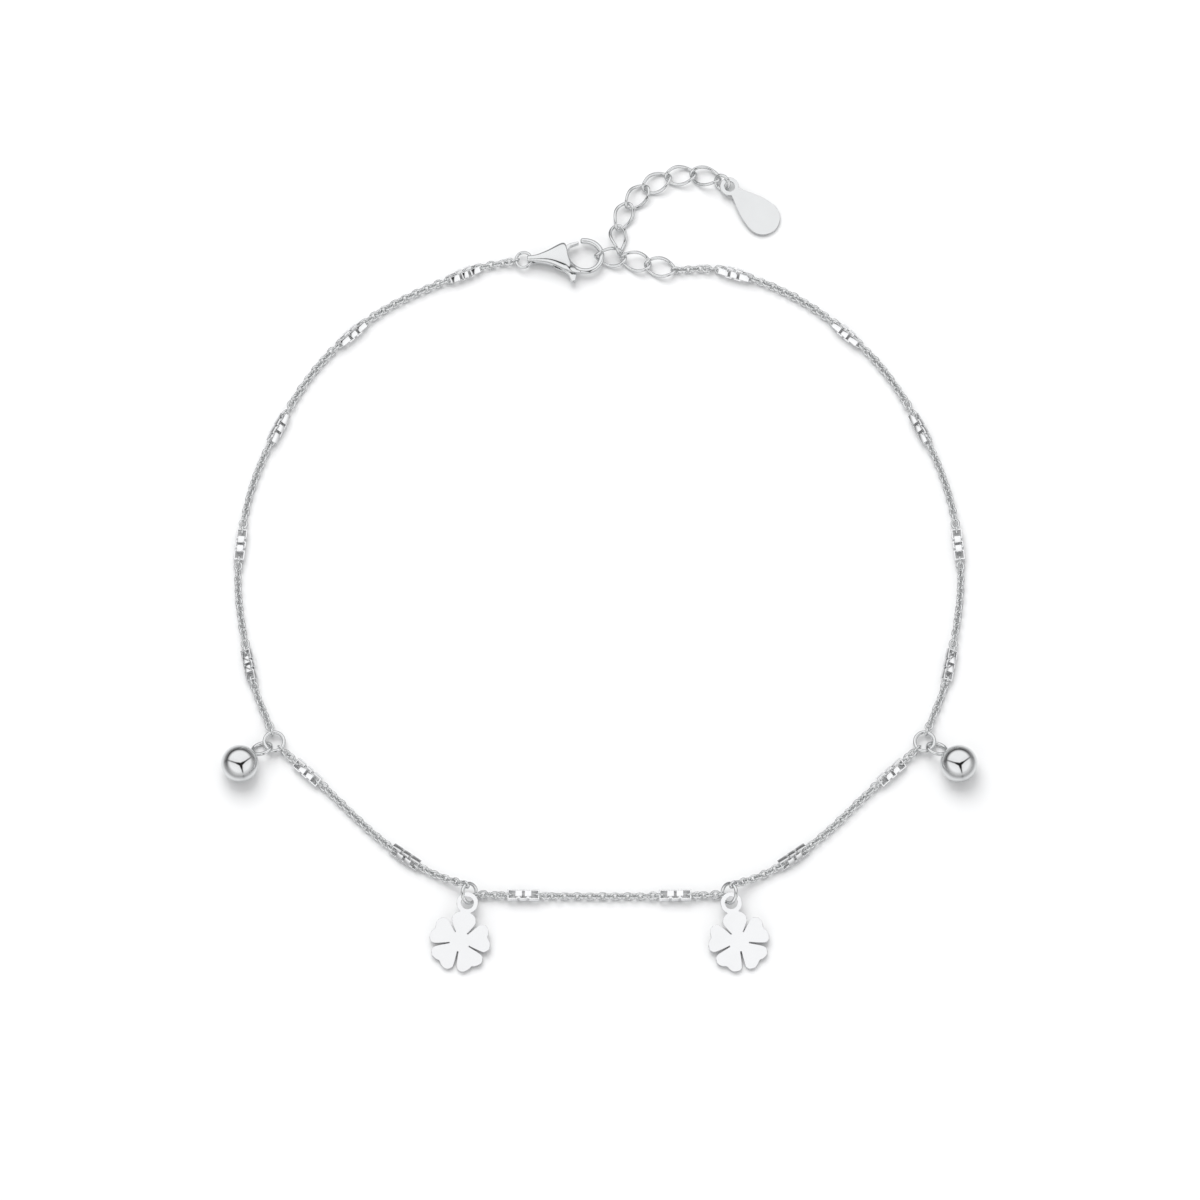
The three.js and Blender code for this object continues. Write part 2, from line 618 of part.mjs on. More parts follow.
function addTag(junction) {
  const aim = heading(TAG_HEADING);
  const radius = (TAG_RING_OUTER - TAG_RING_WIRE) / 2;
  const tilt = radians(TAG_RING_TILT);
  const sideways = new THREE.Vector3().crossVectors(UP, aim);
  const across = sideways.multiplyScalar(Math.cos(tilt)).addScaledVector(UP, Math.sin(tilt));
  const back = radius - TAG_RING_WIRE / 2 - PLAY;
  const centre = junction.clone().addScaledVector(aim, back);
  const ring = ringAt(centre, aim, across, TAG_RING_OUTER, TAG_RING_WIRE);
  addPiece('tag_ring', ringGeometry(TAG_RING_OUTER, TAG_RING_WIRE, 12, 6), silver, ring.frame);

  const hold = (TAG_EYE_HOLE - TAG_RING_WIRE) * DROP_SEAT;
  const eye = centre.clone().addScaledVector(aim, radius + hold);
  const sink = (centre.z - TAG_THICKNESS / 2) / (TAG_REACH + TAG_ROUND / 2);
  const swing = aim.clone().multiplyScalar(Math.sqrt(1 - sink * sink)).setZ(-sink);
  addPiece('tag', tagGeometry(), silver, frameAt(eye, swing, UP));
}

// Bars, which hold the chain's runs between them

function barsAlong(points, side, firstTurn) {
  const heights = points.map((pair, i) => barRestHeight(BAR_TURNS[firstTurn + i - 1] ?? 0));
  const curve = new THREE.CatmullRomCurve3(
    points.map((pair, i) => mirrored(planar(pair, heights[i]), side)), false, 'centripetal',
  );
  const bars = [];
  for (let i = 1; i < points.length - 1; i += 1) {
    const turn = BAR_TURNS[firstTurn + i - 1];
    const centre = mirrored(planar(points[i], barRestHeight(turn)), side);
    const along = curve.getTangent(i / (points.length - 1)).setZ(0).normalize();
    const across = UP.clone().applyAxisAngle(along, radians(turn) * side);
    bars.push({ centre, along, across });
  }
  return bars;
}

function planOf(vector, side) {
  return [vector.x * side, vector.y];
}

function addBar(name, bar) {
  addPiece(name, barGeometry(), silver, frameAt(bar.centre, bar.along, bar.across));
}

function aimBetween(from, to) {
  return to.clone().sub(from).setZ(0).normalize();
}

// One half of the chain, from its end near the clasp to the middle of the front
function addHalf(side, word, topMeeting) {
  const ballRing = addBallDrop(side, word);
  const flowerRing = addFlowerDrop(side, word);
  const [ballIn, ballOut] = CHAIN_MEETS_BALL_RING.map(
    (pair) => ballRing.meetingTowards(mirrored(planar(pair), side)),
  );
  const [flowerIn, flowerOut] = CHAIN_MEETS_FLOWER_RING.map(
    (pair) => flowerRing.meetingTowards(mirrored(planar(pair), side)),
  );
  const back = barsAlong(
    [planOf(topMeeting.point, side), ...ROUTE.ballSideBars, planOf(ballIn.point, side)], side, 0,
  );
  const front = barsAlong(
    [planOf(ballOut.point, side), ...ROUTE.frontBars, planOf(flowerIn.point, side)], side, back.length,
  );
  const mirrorBar = [-ROUTE.innerBar[0], ROUTE.innerBar[1]];
  const inner = barsAlong(
    [planOf(flowerOut.point, side), ROUTE.innerBar, mirrorBar], side, back.length + front.length,
  );
  const bars = [...back, ...front, ...inner];
  bars.forEach((bar, i) => addBar(`bar_${word}_${i + 1}`, bar));

  const runs = [];
  runs.push([ringPort(topMeeting, aimBetween(topMeeting.point, back[0].centre)), barPort(back[0], -1)]);
  for (let i = 1; i < back.length; i += 1) {
    runs.push([barPort(back[i - 1], 1), barPort(back[i], -1)]);
  }
  const lastBack = back[back.length - 1];
  runs.push([barPort(lastBack, 1), ringPort(ballIn, aimBetween(ballIn.point, lastBack.centre))]);
  runs.push([ringPort(ballOut, aimBetween(ballOut.point, front[0].centre)), barPort(front[0], -1)]);
  runs.push([barPort(front[0], 1), barPort(front[1], -1)]);
  runs.push([barPort(front[1], 1), ringPort(flowerIn, aimBetween(flowerIn.point, front[1].centre))]);
  runs.push([ringPort(flowerOut, aimBetween(flowerOut.point, inner[0].centre)), barPort(inner[0], -1)]);
  runs.forEach(([start, end], i) => addRun(`run_${word}_${i + 1}`, start, end));
  return barPort(inner[0], 1);
}

// Assembly

const claspRing = addClasp();
const extension = addExtension();
addTag(extension.looseEnd);

const farEnd = wirePoint(extension.closedEnd, 0);
const beside = wirePoint(extension.closedEnd, 8).sub(wirePoint(extension.closedEnd, -8)).normalize();
const extensionMeeting = { point: farEnd, tangent: beside, wire: EXTENSION_WIRE };

const rightFront = addHalf(1, 'right', extensionMeeting);
const leftFront = addHalf(-1, 'left', claspRing.meeting(0));
addRun('run_front', leftFront, rightFront);

// The origin is the middle of the space it lies in, at the surface it lies on
const box = new THREE.Box3().setFromObject(bracelet, true);
const middle = box.getCenter(new THREE.Vector3());
const floorToOrigin = new THREE.Vector3(-middle.x, -middle.y, -box.min.z);
bracelet.children.forEach((piece) => piece.position.add(floorToOrigin));

export default bracelet;
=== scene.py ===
import json
import math
import random

import bmesh
import bpy
import numpy as np
from bpy.props import FloatProperty, FloatVectorProperty, IntProperty, PointerProperty
from mathutils import Matrix, Vector


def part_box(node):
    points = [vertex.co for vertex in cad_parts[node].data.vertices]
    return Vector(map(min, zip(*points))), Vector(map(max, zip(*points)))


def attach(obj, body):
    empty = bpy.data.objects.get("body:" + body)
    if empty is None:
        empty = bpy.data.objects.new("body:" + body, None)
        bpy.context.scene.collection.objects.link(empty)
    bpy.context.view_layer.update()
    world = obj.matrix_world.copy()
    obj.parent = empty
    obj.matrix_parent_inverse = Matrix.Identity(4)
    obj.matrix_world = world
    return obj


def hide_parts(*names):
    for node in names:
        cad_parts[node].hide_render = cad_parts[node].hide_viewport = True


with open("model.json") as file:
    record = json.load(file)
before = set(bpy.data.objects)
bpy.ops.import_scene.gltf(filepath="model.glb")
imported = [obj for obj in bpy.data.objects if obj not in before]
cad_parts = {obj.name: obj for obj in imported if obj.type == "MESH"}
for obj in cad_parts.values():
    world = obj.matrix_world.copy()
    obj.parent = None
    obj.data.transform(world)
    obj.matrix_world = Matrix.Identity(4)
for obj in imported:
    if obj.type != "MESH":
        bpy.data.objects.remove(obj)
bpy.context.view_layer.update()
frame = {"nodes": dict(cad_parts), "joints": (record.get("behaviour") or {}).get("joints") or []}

bl_info = {
    "name": "Silver ankle bracelet",
    "version": (1, 0, 0),
    "blender": (4, 5, 0),
    "location": "View3D > Sidebar > Bracelet",
    "description": "Dresses the packed parts of a silver ankle bracelet as polished silver",
    "category": "Object",
}

UP = Vector((0.0, 0.0, 1.0))
BODY = "bracelet"
LEVER = "lever"
SIDES = {"left": -1.0, "right": 1.0}
FULL_TURN = 2 * math.pi

# Directions in which the chain leaves the rings of the right half, x outwards
CHAIN_MEETS_BALL_RING = ((0.23, 0.97), (-0.69, -0.72))
CHAIN_MEETS_FLOWER_RING = ((0.72, 0.7), (-1.0, -0.05))

# Rings in the chain by the number of the bar above them
RINGS_AFTER_BAR = {5: ("ball_ring", CHAIN_MEETS_BALL_RING), 7: ("flower_ring", CHAIN_MEETS_FLOWER_RING)}

# Clasp outlines as shares of its length and height from the pin
BODY_SECTIONS = (  # place along the clasp, lower edge, upper edge, share of the full thickness
    (-0.44, -0.09, 0.08, 0.66), (-0.38, -0.094, 0.088, 0.72), (-0.317, -0.103, 0.105, 0.8),
    (-0.24, -0.12, 0.16, 0.9), (-0.16, -0.15, 0.23, 0.97), (-0.085, -0.2, 0.31, 1.0),
    (-0.012, -0.265, 0.388, 1.0), (0.037, -0.31, 0.418, 1.0), (0.062, -0.33, 0.405, 1.0),
    (0.08, -0.345, 0.36, 1.0), (0.093, -0.355, 0.27, 1.0), (0.104, -0.362, 0.16, 0.98),
    (0.118, -0.37, 0.06, 0.95), (0.148, -0.38, -0.06, 0.84), (0.18, -0.384, -0.12, 0.7),
    (0.21, -0.382, -0.165, 0.56), (0.245, -0.372, -0.2, 0.44), (0.28, -0.355, -0.235, 0.34),
)
POCKET_OUTLINE = (
    (-0.093, -0.46), (-0.093, 0.046), (-0.062, 0.115), (0.037, 0.349), (0.093, 0.413), (0.148, 0.48),
    (0.32, 0.48), (0.32, -0.069), (0.148, -0.069), (0.121, -0.142), (0.167, -0.298), (0.167, -0.46),
)
CLAW_PATH = (
    (0.185, -0.24), (0.284, -0.298), (0.383, -0.298), (0.475, -0.22), (0.533, -0.08), (0.549, 0.08),
    (0.525, 0.252), (0.457, 0.39), (0.364, 0.459), (0.265, 0.463),
)
GATE_OUTLINE = (
    (-0.04, 0.07), (0.05, 0.31), (0.12, 0.385), (0.19, 0.425), (0.243, 0.44), (0.247, 0.375), (0.2, 0.345),
    (0.137, 0.3), (0.1, 0.21), (0.052, -0.02),
)
THUMB_OUTLINE = (
    (-0.05, -0.06), (0.052, -0.04), (0.155, -0.395), (0.22, -0.405), (0.2, -0.58), (0.15, -0.6),
    (0.11, -0.42), (0.035, -0.3),
)
TAIL_HOLE = (-0.377, -0.008)

# Rim of a petal from the slot beside it to its middle, as shares of the flower's radius, and degrees
NOTCHED_RIM = ((0.75, 32.6), (0.9, 30.0), (0.985, 23.0), (1.0, 15.5), (0.965, 7.5), (0.915, 0.0))
ROUND_RIM = ((0.72, 31.6), (0.85, 27.0), (0.94, 19.5), (0.985, 10.0), (1.0, 0.0))
SLOT_START = 0.34

# Turn of each bar about its own length from where its solid lies, in degrees
BAR_ROLLS = (-12, -12, -12, 90, -12, -12, 0, 90)

# Rim of the tag's right half, as shares of its length from the eye and of half its width
TAG_RIM = (
    (0.1, 0.3), (0.2, 0.42), (0.345, 0.66), (0.5, 0.87), (0.65, 0.99), (0.76, 1.0), (0.87, 0.86),
    (0.96, 0.52), (1.0, 0.0),
)

# How square a lofted section is: 2 is an ellipse
BODY_SQUARENESS = 3.2
CLAW_SQUARENESS = 2.2

# Grid of the castings, in mm, and how often their surface is smoothed
WALL_GRID, WALL_ROUNDS = 0.06, 4
BODY_GRID, BODY_ROUNDS = 0.055, 8
LEVER_GRID, LEVER_ROUNDS = 0.04, 3
LEVER_ROUNDING = 0.08

# Solder between a ball and its ring, as shares of the ring's wire
COLLAR_FOOT, COLLAR_TOP, COLLAR_HEIGHT, COLLAR_RISE = 1.0, 0.55, 0.7, 0.18

# Faces along and round the wires, and around the balls
FINE_LINK_FACES = (12, 5)
OVAL_LINK_FACES = (64, 14)
BALL_FACES = (96, 48)
HOLE_SIDES = 36

# Steps along the rim of the eye, for a flower and for the tag
FLOWER_EYE_STEPS = 40
TAG_EYE_STEPS = 44

# Links at each end of a run that turn into line with the rest
TURNING_LINKS = 3

# Grain of the silver's clouds and polishing marks per metre, and how much darker a cloud is
CLOUD_SCALE = 420.0
MARK_SCALE = 2600.0
MARK_STRETCH = (1.0, 6.0, 3.0)
CLOUD_TINT = 0.965

# Light boxes overhead as a mirroring ball shows them: their meeting point, the headings of the seams
# between them in degrees, and the rim at which they end
BOXES_MEET = (0.055, -0.045)
SEAM_HEADINGS = (162.0, 35.0, -76.0)
BOX_RIM = (0.3, 0.62)
STUDIO_WHITE = (0.985, 0.99, 1.0, 1.0)
LOW_LIGHT = (0.04, 0.62)
LOW_LIGHT_HEADING = (0.35, -0.94)
HORIZON = (0.02, 0.46)

FLOOR_SIZE = 0.6
FLOOR_GLOSS = {
    "Roughness": 0.25, "IOR": 1.5, "Coat Weight": 1.0, "Coat IOR": 1.5, "Coat Roughness": 0.18,
}
KEY_PLACE = (-0.18, 0.55, 0.85)
KEY_SIZE = 0.8
SENSOR_WIDTH = 36.0


def length_property(name, description, millimetres):
    return FloatProperty(
        name=name, description=description, default=millimetres / 1000, unit="LENGTH", precision=5,
        min=0.0,
    )


def angle_property(name, description, degrees):
    return FloatProperty(name=name, description=description, default=math.radians(degrees), subtype="ANGLE")


def share_property(name, description, share):
    return FloatProperty(
        name=name, description=description, default=share, subtype="FACTOR", min=0.0, max=1.0,
    )


def colour_property(name, description, *colour):
    return FloatVectorProperty(
        name=name, description=description, default=colour, subtype="COLOR", size=3, min=0.0, max=1.0,
    )


class ChainSizes(bpy.types.PropertyGroup):
    """Sizes of the fine chain and its box bars."""

    wire: length_property("Wire", "Thickness of the fine chain's wire", 0.26)
    link_length: length_property("Link length", "Outer length of one fine link", 1.2)
    link_width: length_property("Link width", "Outer width of one fine link", 1.04)
    pitch: length_property("Pitch", "Distance between the middles of two linked fine links", 0.67)
    bulk: length_property("Chain height", "Height that the lying chain takes up", 0.94)
    settle: length_property("Settling length", "Distance in which a chain end comes down to rest", 4.5)
    play: length_property("Play", "Clearance between a chain end and the ring it holds", 0.06)
    wobble: angle_property("Wobble", "Most that a fine link is turned out of line", 5)
    bar_width: length_property("Bar width", "Width of a box bar", 1.15)
    bar_strip: length_property("Strip", "Width of the strip that a box is bent from", 0.68)
    bar_plate: length_property("Plate", "Thickness of the strip that a box is bent from", 0.14)
    bar_pitch: length_property("Box pitch", "Distance between the middles of two inner boxes", 0.5)
    bar_solder: length_property("Solder", "Overlap of two soldered boxes", 0.02)
    bar_eye_play: length_property("Bar eye play", "Clearance between a chain end and a bar's end", 0.2)
    bar_edge: length_property("Box edge", "Rounding of the boxes' edges", 0.035)


class RingSizes(bpy.types.PropertyGroup):
    """Sizes of the round rings and of the extension's oval links."""

    drop_outer: length_property("Drop ring", "Outer diameter of the rings that carry the drops", 2.5)
    drop_wire: length_property("Drop ring wire", "Wire of the rings that carry the drops", 0.4)
    clasp_outer: length_property("Clasp ring", "Outer diameter of the clasp's ring", 2.0)
    clasp_wire: length_property("Clasp ring wire", "Wire of the clasp's ring", 0.34)
    tag_outer: length_property("Tag ring", "Outer diameter of the tag's ring", 2.05)
    tag_wire: length_property("Tag ring wire", "Wire of the tag's ring", 0.36)
    link_length: length_property("Extension link", "Outer length of an extension link", 3.6)
    link_width: length_property("Extension width", "Outer width of an extension link", 2.35)
    link_wire: length_property("Extension wire", "Wire of an extension link", 0.37)
    link_twist: angle_property("Twist", "Turn of each end of an extension link", 45)


class DropSizes(bpy.types.PropertyGroup):
    """Sizes of the balls, the flowers and the tag."""

    ball: length_property("Ball", "Diameter of a ball", 4.0)
    ball_ring_outer: length_property("Ball ring", "Outer diameter of the ring soldered to a ball", 2.5)
    ball_ring_wire: length_property("Ball ring wire", "Wire of the ring soldered to a ball", 0.4)
    ball_ring_seat: length_property("Ball ring seat", "Depth at which the ring is soldered in", 0.08)
    flower: length_property("Flower", "Diameter of a flower over its petals", 6.55)
    flower_thickness: length_property("Flower thickness", "Thickness of the flower's plate", 0.45)
    flower_slot: length_property("Slot", "Width of the slots between the petals", 0.12)
    flower_eye_outer: length_property("Flower eye", "Outer diameter of the flower's eye", 2.3)
    flower_eye_hole: length_property("Flower eye hole", "Diameter of the hole in the flower's eye", 1.32)
    flower_reach: length_property("Flower reach", "Distance from the eye to the flower's middle", 4.2)
    tag_thickness: length_property("Tag thickness", "Thickness of the tag's plate", 0.4)
    tag_eye_outer: length_property("Tag eye", "Outer diameter of the tag's eye", 2.0)
    tag_eye_hole: length_property("Tag eye hole", "Diameter of the hole in the tag's eye", 1.1)
    tag_reach: length_property("Tag reach", "Distance from the tag's eye to its round end", 4.95)
    tag_round: length_property("Tag round", "Diameter of the tag's round end", 3.7)
    edge: length_property("Plate edge", "Rounding of the plates' edges", 0.035)


class ClaspSizes(bpy.types.PropertyGroup):
    """Sizes of the clasp and its lever."""

    length: length_property("Clasp length", "Length of the clasp", 8.1)
    height: length_property("Clasp height", "Height of the clasp", 4.36)
    thickness: length_property("Clasp thickness", "Thickness of the clasp's body", 2.0)
    pin_inset: length_property("Pin inset", "How much shorter the pin is than the clasp is thick", 0.24)
    claw_width: length_property("Claw width", "Width of the claw's rod seen from above", 0.64)
    claw_depth: length_property("Claw depth", "Depth of the claw's rod", 0.78)
    lever_thickness: length_property("Lever", "Thickness of the lever", 0.7)
    lever_clearance: length_property("Lever clearance", "Clearance round the lever", 0.07)
    pin: length_property("Pin", "Diameter of the pin", 0.56)
    hub: length_property("Hub", "Diameter of the lever's hub", 1.04)
    eye_hole: length_property("Eye hole", "Diameter of the hole in the clasp's tail", 0.76)


class SilverLook(bpy.types.PropertyGroup):
    """Colour and finish of the silver."""

    # The chain, bars and flowers take a near-white silver, and the clasp, rings, extension, tag and balls a
    # darker copy of the same silver: the darker colour is painted shade
    colour: colour_property(
        "Silver", "Colour of the silver of the chain, bars and flowers", 0.97, 0.972, 0.975,
    )
    painted_shade_colour: colour_property(
        "Silver with painted shade", "Colour of the silver of the clasp, rings, extension, tag and balls",
        0.81, 0.818, 0.818,
    )
    polish: share_property("Roughness", "Roughness of the polished pieces", 0.05)
    chain_polish: share_property("Chain roughness", "Roughness of the fine chain", 0.11)
    scratch: length_property("Scratch depth", "Depth of the polishing marks", 0.0003)


class StageLook(bpy.types.PropertyGroup):
    """Camera, floor and light."""

    floor: colour_property("Floor", "Colour of the floor", 0.9, 0.9, 0.9)
    # Painted shade in the silver's reflections: every ray but a camera ray sees the floor in a dimmer colour,
    # and in a near-black one where it is mirrored at a flat angle
    floor_painted_dim_in_reflections: colour_property(
        "Mirrored floor", "Colour of the floor as the silver mirrors it", 0.8, 0.805, 0.81,
    )
    floor_painted_dark_at_grazing: colour_property(
        "Mirrored floor far off", "Colour of the floor as the silver mirrors it at a flat angle",
        0.05, 0.051, 0.053,
    )
    softbox: FloatProperty(name="Softboxes", description="Brightness of the three softboxes", default=1.06)
    seam: FloatProperty(name="Seam", description="Width of the dark seams on a ball", default=0.022)
    key: FloatProperty(name="Key light", description="Power of the soft light from behind", default=5.5)
    view_width: length_property("View width", "Width of the object's plane in the picture", 128.4)
    focal: FloatProperty(name="Focal length", description="Focal length of the camera in mm", default=800.0)
    elevation: angle_property("Elevation", "Angle of the camera above the floor", 75)
    centre: FloatVectorProperty(
        name="Centre", description="Point of the floor in the middle of the picture", subtype="TRANSLATION",
        size=3, default=(0.00007, -0.00355, 0.0),
    )
    seed: IntProperty(name="Seed", description="Seed of the small irregularities", default=7)


# Measuring the frame


def mm(value):
    return value * 1000


def axes_of(node, keep=None):
    """Centre of a node's surface and its three principal directions, longest first, in mm."""
    mesh = frame["nodes"][node].data
    mesh.calc_loop_triangles()
    points = np.array([vertex.co[:] for vertex in mesh.vertices]) * 1000
    corners = points[np.array([triangle.vertices[:] for triangle in mesh.loop_triangles])]
    if keep is not None:
        corners = corners[[keep(triangle) for triangle in corners]]
    cross = np.cross(corners[:, 1] - corners[:, 0], corners[:, 2] - corners[:, 0])
    area = np.linalg.norm(cross, axis=1) / 2
    middles = corners.mean(axis=1)
    centre = (area[:, None] * middles).sum(axis=0) / area.sum()
    spread = np.zeros((3, 3))
    for corner in range(3):
        offset = corners[:, corner] - middles
        spread += np.einsum("i,ij,ik->jk", area / 12, offset, offset)
    offset = middles - centre
    spread += np.einsum("i,ij,ik->jk", area, offset, offset)
    values, vectors = np.linalg.eigh(spread)
    order = np.argsort(values)[::-1]
    long_axis, middle_axis = (Vector(vectors[:, i]).normalized() for i in order[:2])
    return Vector(centre), long_axis, middle_axis, long_axis.cross(middle_axis)


def extent(node, origin, direction):
    """How far a node reaches from a point along a direction, in mm."""
    return max((vertex.co * 1000 - origin).dot(direction) for vertex in frame["nodes"][node].data.vertices)


def towards(axis, target):
    return axis.copy() if axis.dot(target) > 0 else -axis


def frame_at(origin, along, upward):
    """Placing matrix with x along one direction and z as near another as it can be."""
    x = along.normalized()
    z = (upward - x * upward.dot(x)).normalized()
    y = z.cross(x)
    turn = Matrix((x, y, z)).transposed().to_4x4()
    return Matrix.Translation(origin) @ turn


def mirrored(pair, side):
    return Vector((pair[0] * side, pair[1], 0.0))


# Turning meshes into pieces


def new_object(name, bm):
    """Object in the scene from a closed mesh, which is freed."""
    mesh = bpy.data.meshes.new(name)
    bmesh.ops.recalc_face_normals(bm, faces=bm.faces[:])
    bm.to_mesh(mesh)
    bm.free()
    made = bpy.data.objects.new(name, mesh)
    bpy.context.scene.collection.objects.link(made)
    return made


def finish_piece(name, bm, finish, nodes, sharp, body=BODY):
    """Scales a mesh from mm, lifts what is under the floor, and puts it on its body in place of its nodes.

    Material index 1 marks the faces that are shaded flat.
    """
    sunk = max(0.0, -min(vertex.co.z for vertex in bm.verts))
    bm.transform(Matrix.Scale(0.001, 4) @ Matrix.Translation(UP * sunk))
    piece = new_object(name, bm)
    piece.data.set_sharp_from_angle(angle=math.radians(sharp))
    for polygon in piece.data.polygons:
        polygon.use_smooth = polygon.material_index == 0
        polygon.material_index = 0
    piece.data.materials.append(silver_finish(finish))
    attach(piece, body)
    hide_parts(*nodes)


def move_into(whole, part):
    """Adds a mesh to another and frees it."""
    mesh = bpy.data.meshes.new("part")
    part.to_mesh(mesh)
    part.free()
    whole.from_mesh(mesh)
    bpy.data.meshes.remove(mesh)


def joined(base, places):
    """One mesh that holds a copy of another at each placing matrix."""
    whole = bmesh.new()
    for place in places:
        copy = base.copy()
        copy.transform(place)
        move_into(whole, copy)
    return whole


def joined_solids(parts):
    whole = bmesh.new()
    for part in parts:
        bmesh.ops.recalc_face_normals(part, faces=part.faces[:])
        move_into(whole, part)
    return whole


def ring_mesh(outer, wire, around=56, sides=14):
    bm = bmesh.new()
    bmesh.ops.create_circle(bm, cap_ends=False, segments=sides, radius=wire / 2)
    bmesh.ops.rotate(bm, verts=bm.verts[:], cent=(0, 0, 0), matrix=Matrix.Rotation(math.pi / 2, 3, "X"))
    bmesh.ops.translate(bm, verts=bm.verts[:], vec=((outer - wire) / 2, 0, 0))
    bmesh.ops.spin(
        bm, geom=bm.verts[:] + bm.edges[:], cent=(0, 0, 0), axis=(0, 0, 1), dvec=(0, 0, 0),
        angle=FULL_TURN, steps=around, use_merge=True, use_duplicate=False,
    )
    return bm


def link_mesh(length, width, wire, twist, around, sides):
    """Oval link along x whose ends are turned opposite ways about x."""
    bm = ring_mesh(length, wire, around, sides)
    half_length = (length - wire) / 2
    half_width = (width - wire) / 2
    for vertex in bm.verts:
        angle = math.atan2(vertex.co.y, vertex.co.x)
        offset = math.hypot(vertex.co.x, vertex.co.y) - half_length
        out = Vector((half_width * math.cos(angle), half_length * math.sin(angle))).normalized()
        x = half_length * math.cos(angle) + out.x * offset
        y = half_width * math.sin(angle) + out.y * offset
        turn = Matrix.Rotation(-twist * x / half_length, 3, "X")
        vertex.co = turn @ Vector((x, y, vertex.co.z))
    return bm


def plate_mesh(loops, thickness, edge, steps=3):
    """Flat plate in its own xy plane, with rounded edges; the first loop is its rim, the others its holes."""
    bm = bmesh.new()
    edges = []
    for loop in loops:
        verts = [bm.verts.new((x, y, -thickness / 2)) for x, y in loop]
        edges += [bm.edges.new(pair) for pair in zip(verts, verts[1:] + verts[:1])]
    bmesh.ops.triangle_fill(bm, use_beauty=True, use_dissolve=False, edges=edges, normal=(0, 0, 1))
    bottom = bm.faces[:]
    grown = bmesh.ops.extrude_face_region(bm, geom=bottom, use_keep_orig=True)
    top = [item for item in grown["geom"] if isinstance(item, bmesh.types.BMFace)]
    top_verts = [item for item in grown["geom"] if isinstance(item, bmesh.types.BMVert)]
    bmesh.ops.translate(bm, verts=top_verts, vec=(0, 0, thickness - 2 * edge))
    bmesh.ops.translate(bm, verts=bm.verts[:], vec=(0, 0, edge))
    bmesh.ops.recalc_face_normals(bm, faces=bm.faces[:])
    for cap in (top, [face for face in bottom if face.is_valid]):
        for step in range(steps):
            start, end = (math.pi / 2 * (step + k) / steps for k in (0, 1))
            bmesh.ops.inset_region(
                bm, faces=cap, use_boundary=True, use_even_offset=True,
                thickness=edge * (math.cos(start) - math.cos(end)), depth=0.0,
            )
            rise = edge * (math.sin(end) - math.sin(start))
            verts = list({vertex for face in cap for vertex in face.verts})
            sign = 1 if cap is top else -1
            bmesh.ops.translate(bm, verts=verts, vec=(0, 0, sign * rise))
        for face in cap:
            face.material_index = 1
    return bm


def loft_mesh(stations, power, sides=32):
    """Solid through sections that stand upright on its own xy plane, closed at both ends.

    A station is its middle, its heading, half its width and half its depth. A higher power gives squarer
    sections.
    """
    bm = bmesh.new()
    bmesh.ops.create_circle(bm, cap_ends=True, segments=sides, radius=1.0)
    for vertex in bm.verts:
        for axis in (0, 1):
            vertex.co[axis] = math.copysign(abs(vertex.co[axis]) ** (2 / power), vertex.co[axis])
    ring = bm.edges[:]
    previous = Matrix.Identity(4)
    for i, (middle, heading, half_width, half_depth) in enumerate(stations):
        ahead = heading.normalized()
        turn = Matrix((UP, UP.cross(ahead), ahead)).transposed().to_4x4()
        place = Matrix.Translation(middle) @ turn @ Matrix.Diagonal((half_depth, half_width, 1.0, 1.0))
        if i == 0:
            bmesh.ops.transform(bm, matrix=place, verts=bm.verts[:])
        else:
            grown = bmesh.ops.extrude_edge_only(bm, edges=ring)["geom"]
            ring = [item for item in grown if isinstance(item, bmesh.types.BMEdge)]
            verts = [item for item in grown if isinstance(item, bmesh.types.BMVert)]
            bmesh.ops.transform(bm, matrix=place @ previous.inverted(), verts=verts)
        previous = place
    bmesh.ops.contextual_create(bm, geom=ring)
    return bm


def cone_mesh(low_radius, high_radius, length, sides):
    bm = bmesh.new()
    bmesh.ops.create_cone(
        bm, cap_ends=True, cap_tris=False, segments=sides, radius1=low_radius, radius2=high_radius,
        depth=length,
    )
    return bm


def disc_mesh(diameter, length, sides=40):
    return cone_mesh(diameter / 2, diameter / 2, length, sides)


def through(t, a, b, c, d):
    """Value at a share t of the way from b to c on a smooth curve through all four."""
    slope, bend, twist = c - a, 2 * a - 5 * b + 4 * c - d, 3 * b - a - 3 * c + d
    return 0.5 * (2 * b + slope * t + bend * t * t + twist * t ** 3)


def smooth_path(points, per):
    """Points of a smooth open line through some points, with so many for each step between two."""
    path = []
    count = len(points)
    for i in range(count - 1):
        p1, p2 = points[i], points[i + 1]
        p0 = p1 if i == 0 else points[i - 1]
        p3 = p2 if i == count - 2 else points[i + 2]
        for step in range(per):
            t = step / per
            path.append([through(t, *values) for values in zip(p0, p1, p2, p3)])
    path.append(list(points[-1]))
    return path


def add_modifier(item, kind, **settings):
    modifier = item.modifiers.new(kind.lower(), kind)
    for name, setting in settings.items():
        setattr(modifier, name, setting)


def fused(parts, cutters, grid, rounds):
    """One mesh of some solids run together, less others, with its edges softened as in a casting."""
    whole = new_object("fused", joined_solids(parts))
    tools = [new_object("cutter", cutter) for cutter in cutters]
    add_modifier(whole, "REMESH", mode="VOXEL", voxel_size=grid)
    for tool in tools:
        add_modifier(whole, "BOOLEAN", operation="DIFFERENCE", solver="MANIFOLD", object=tool)
    if tools:
        add_modifier(whole, "REMESH", mode="VOXEL", voxel_size=grid)
    add_modifier(whole, "SMOOTH", factor=0.5, iterations=rounds)
    result = whole.evaluated_get(bpy.context.evaluated_depsgraph_get())
    bm = bmesh.new()
    bm.from_mesh(result.to_mesh())
    result.to_mesh_clear()
    for item in (whole, *tools):
        mesh = item.data
        bpy.data.objects.remove(item)
        bpy.data.meshes.remove(mesh)
    return bm


# Shader maths


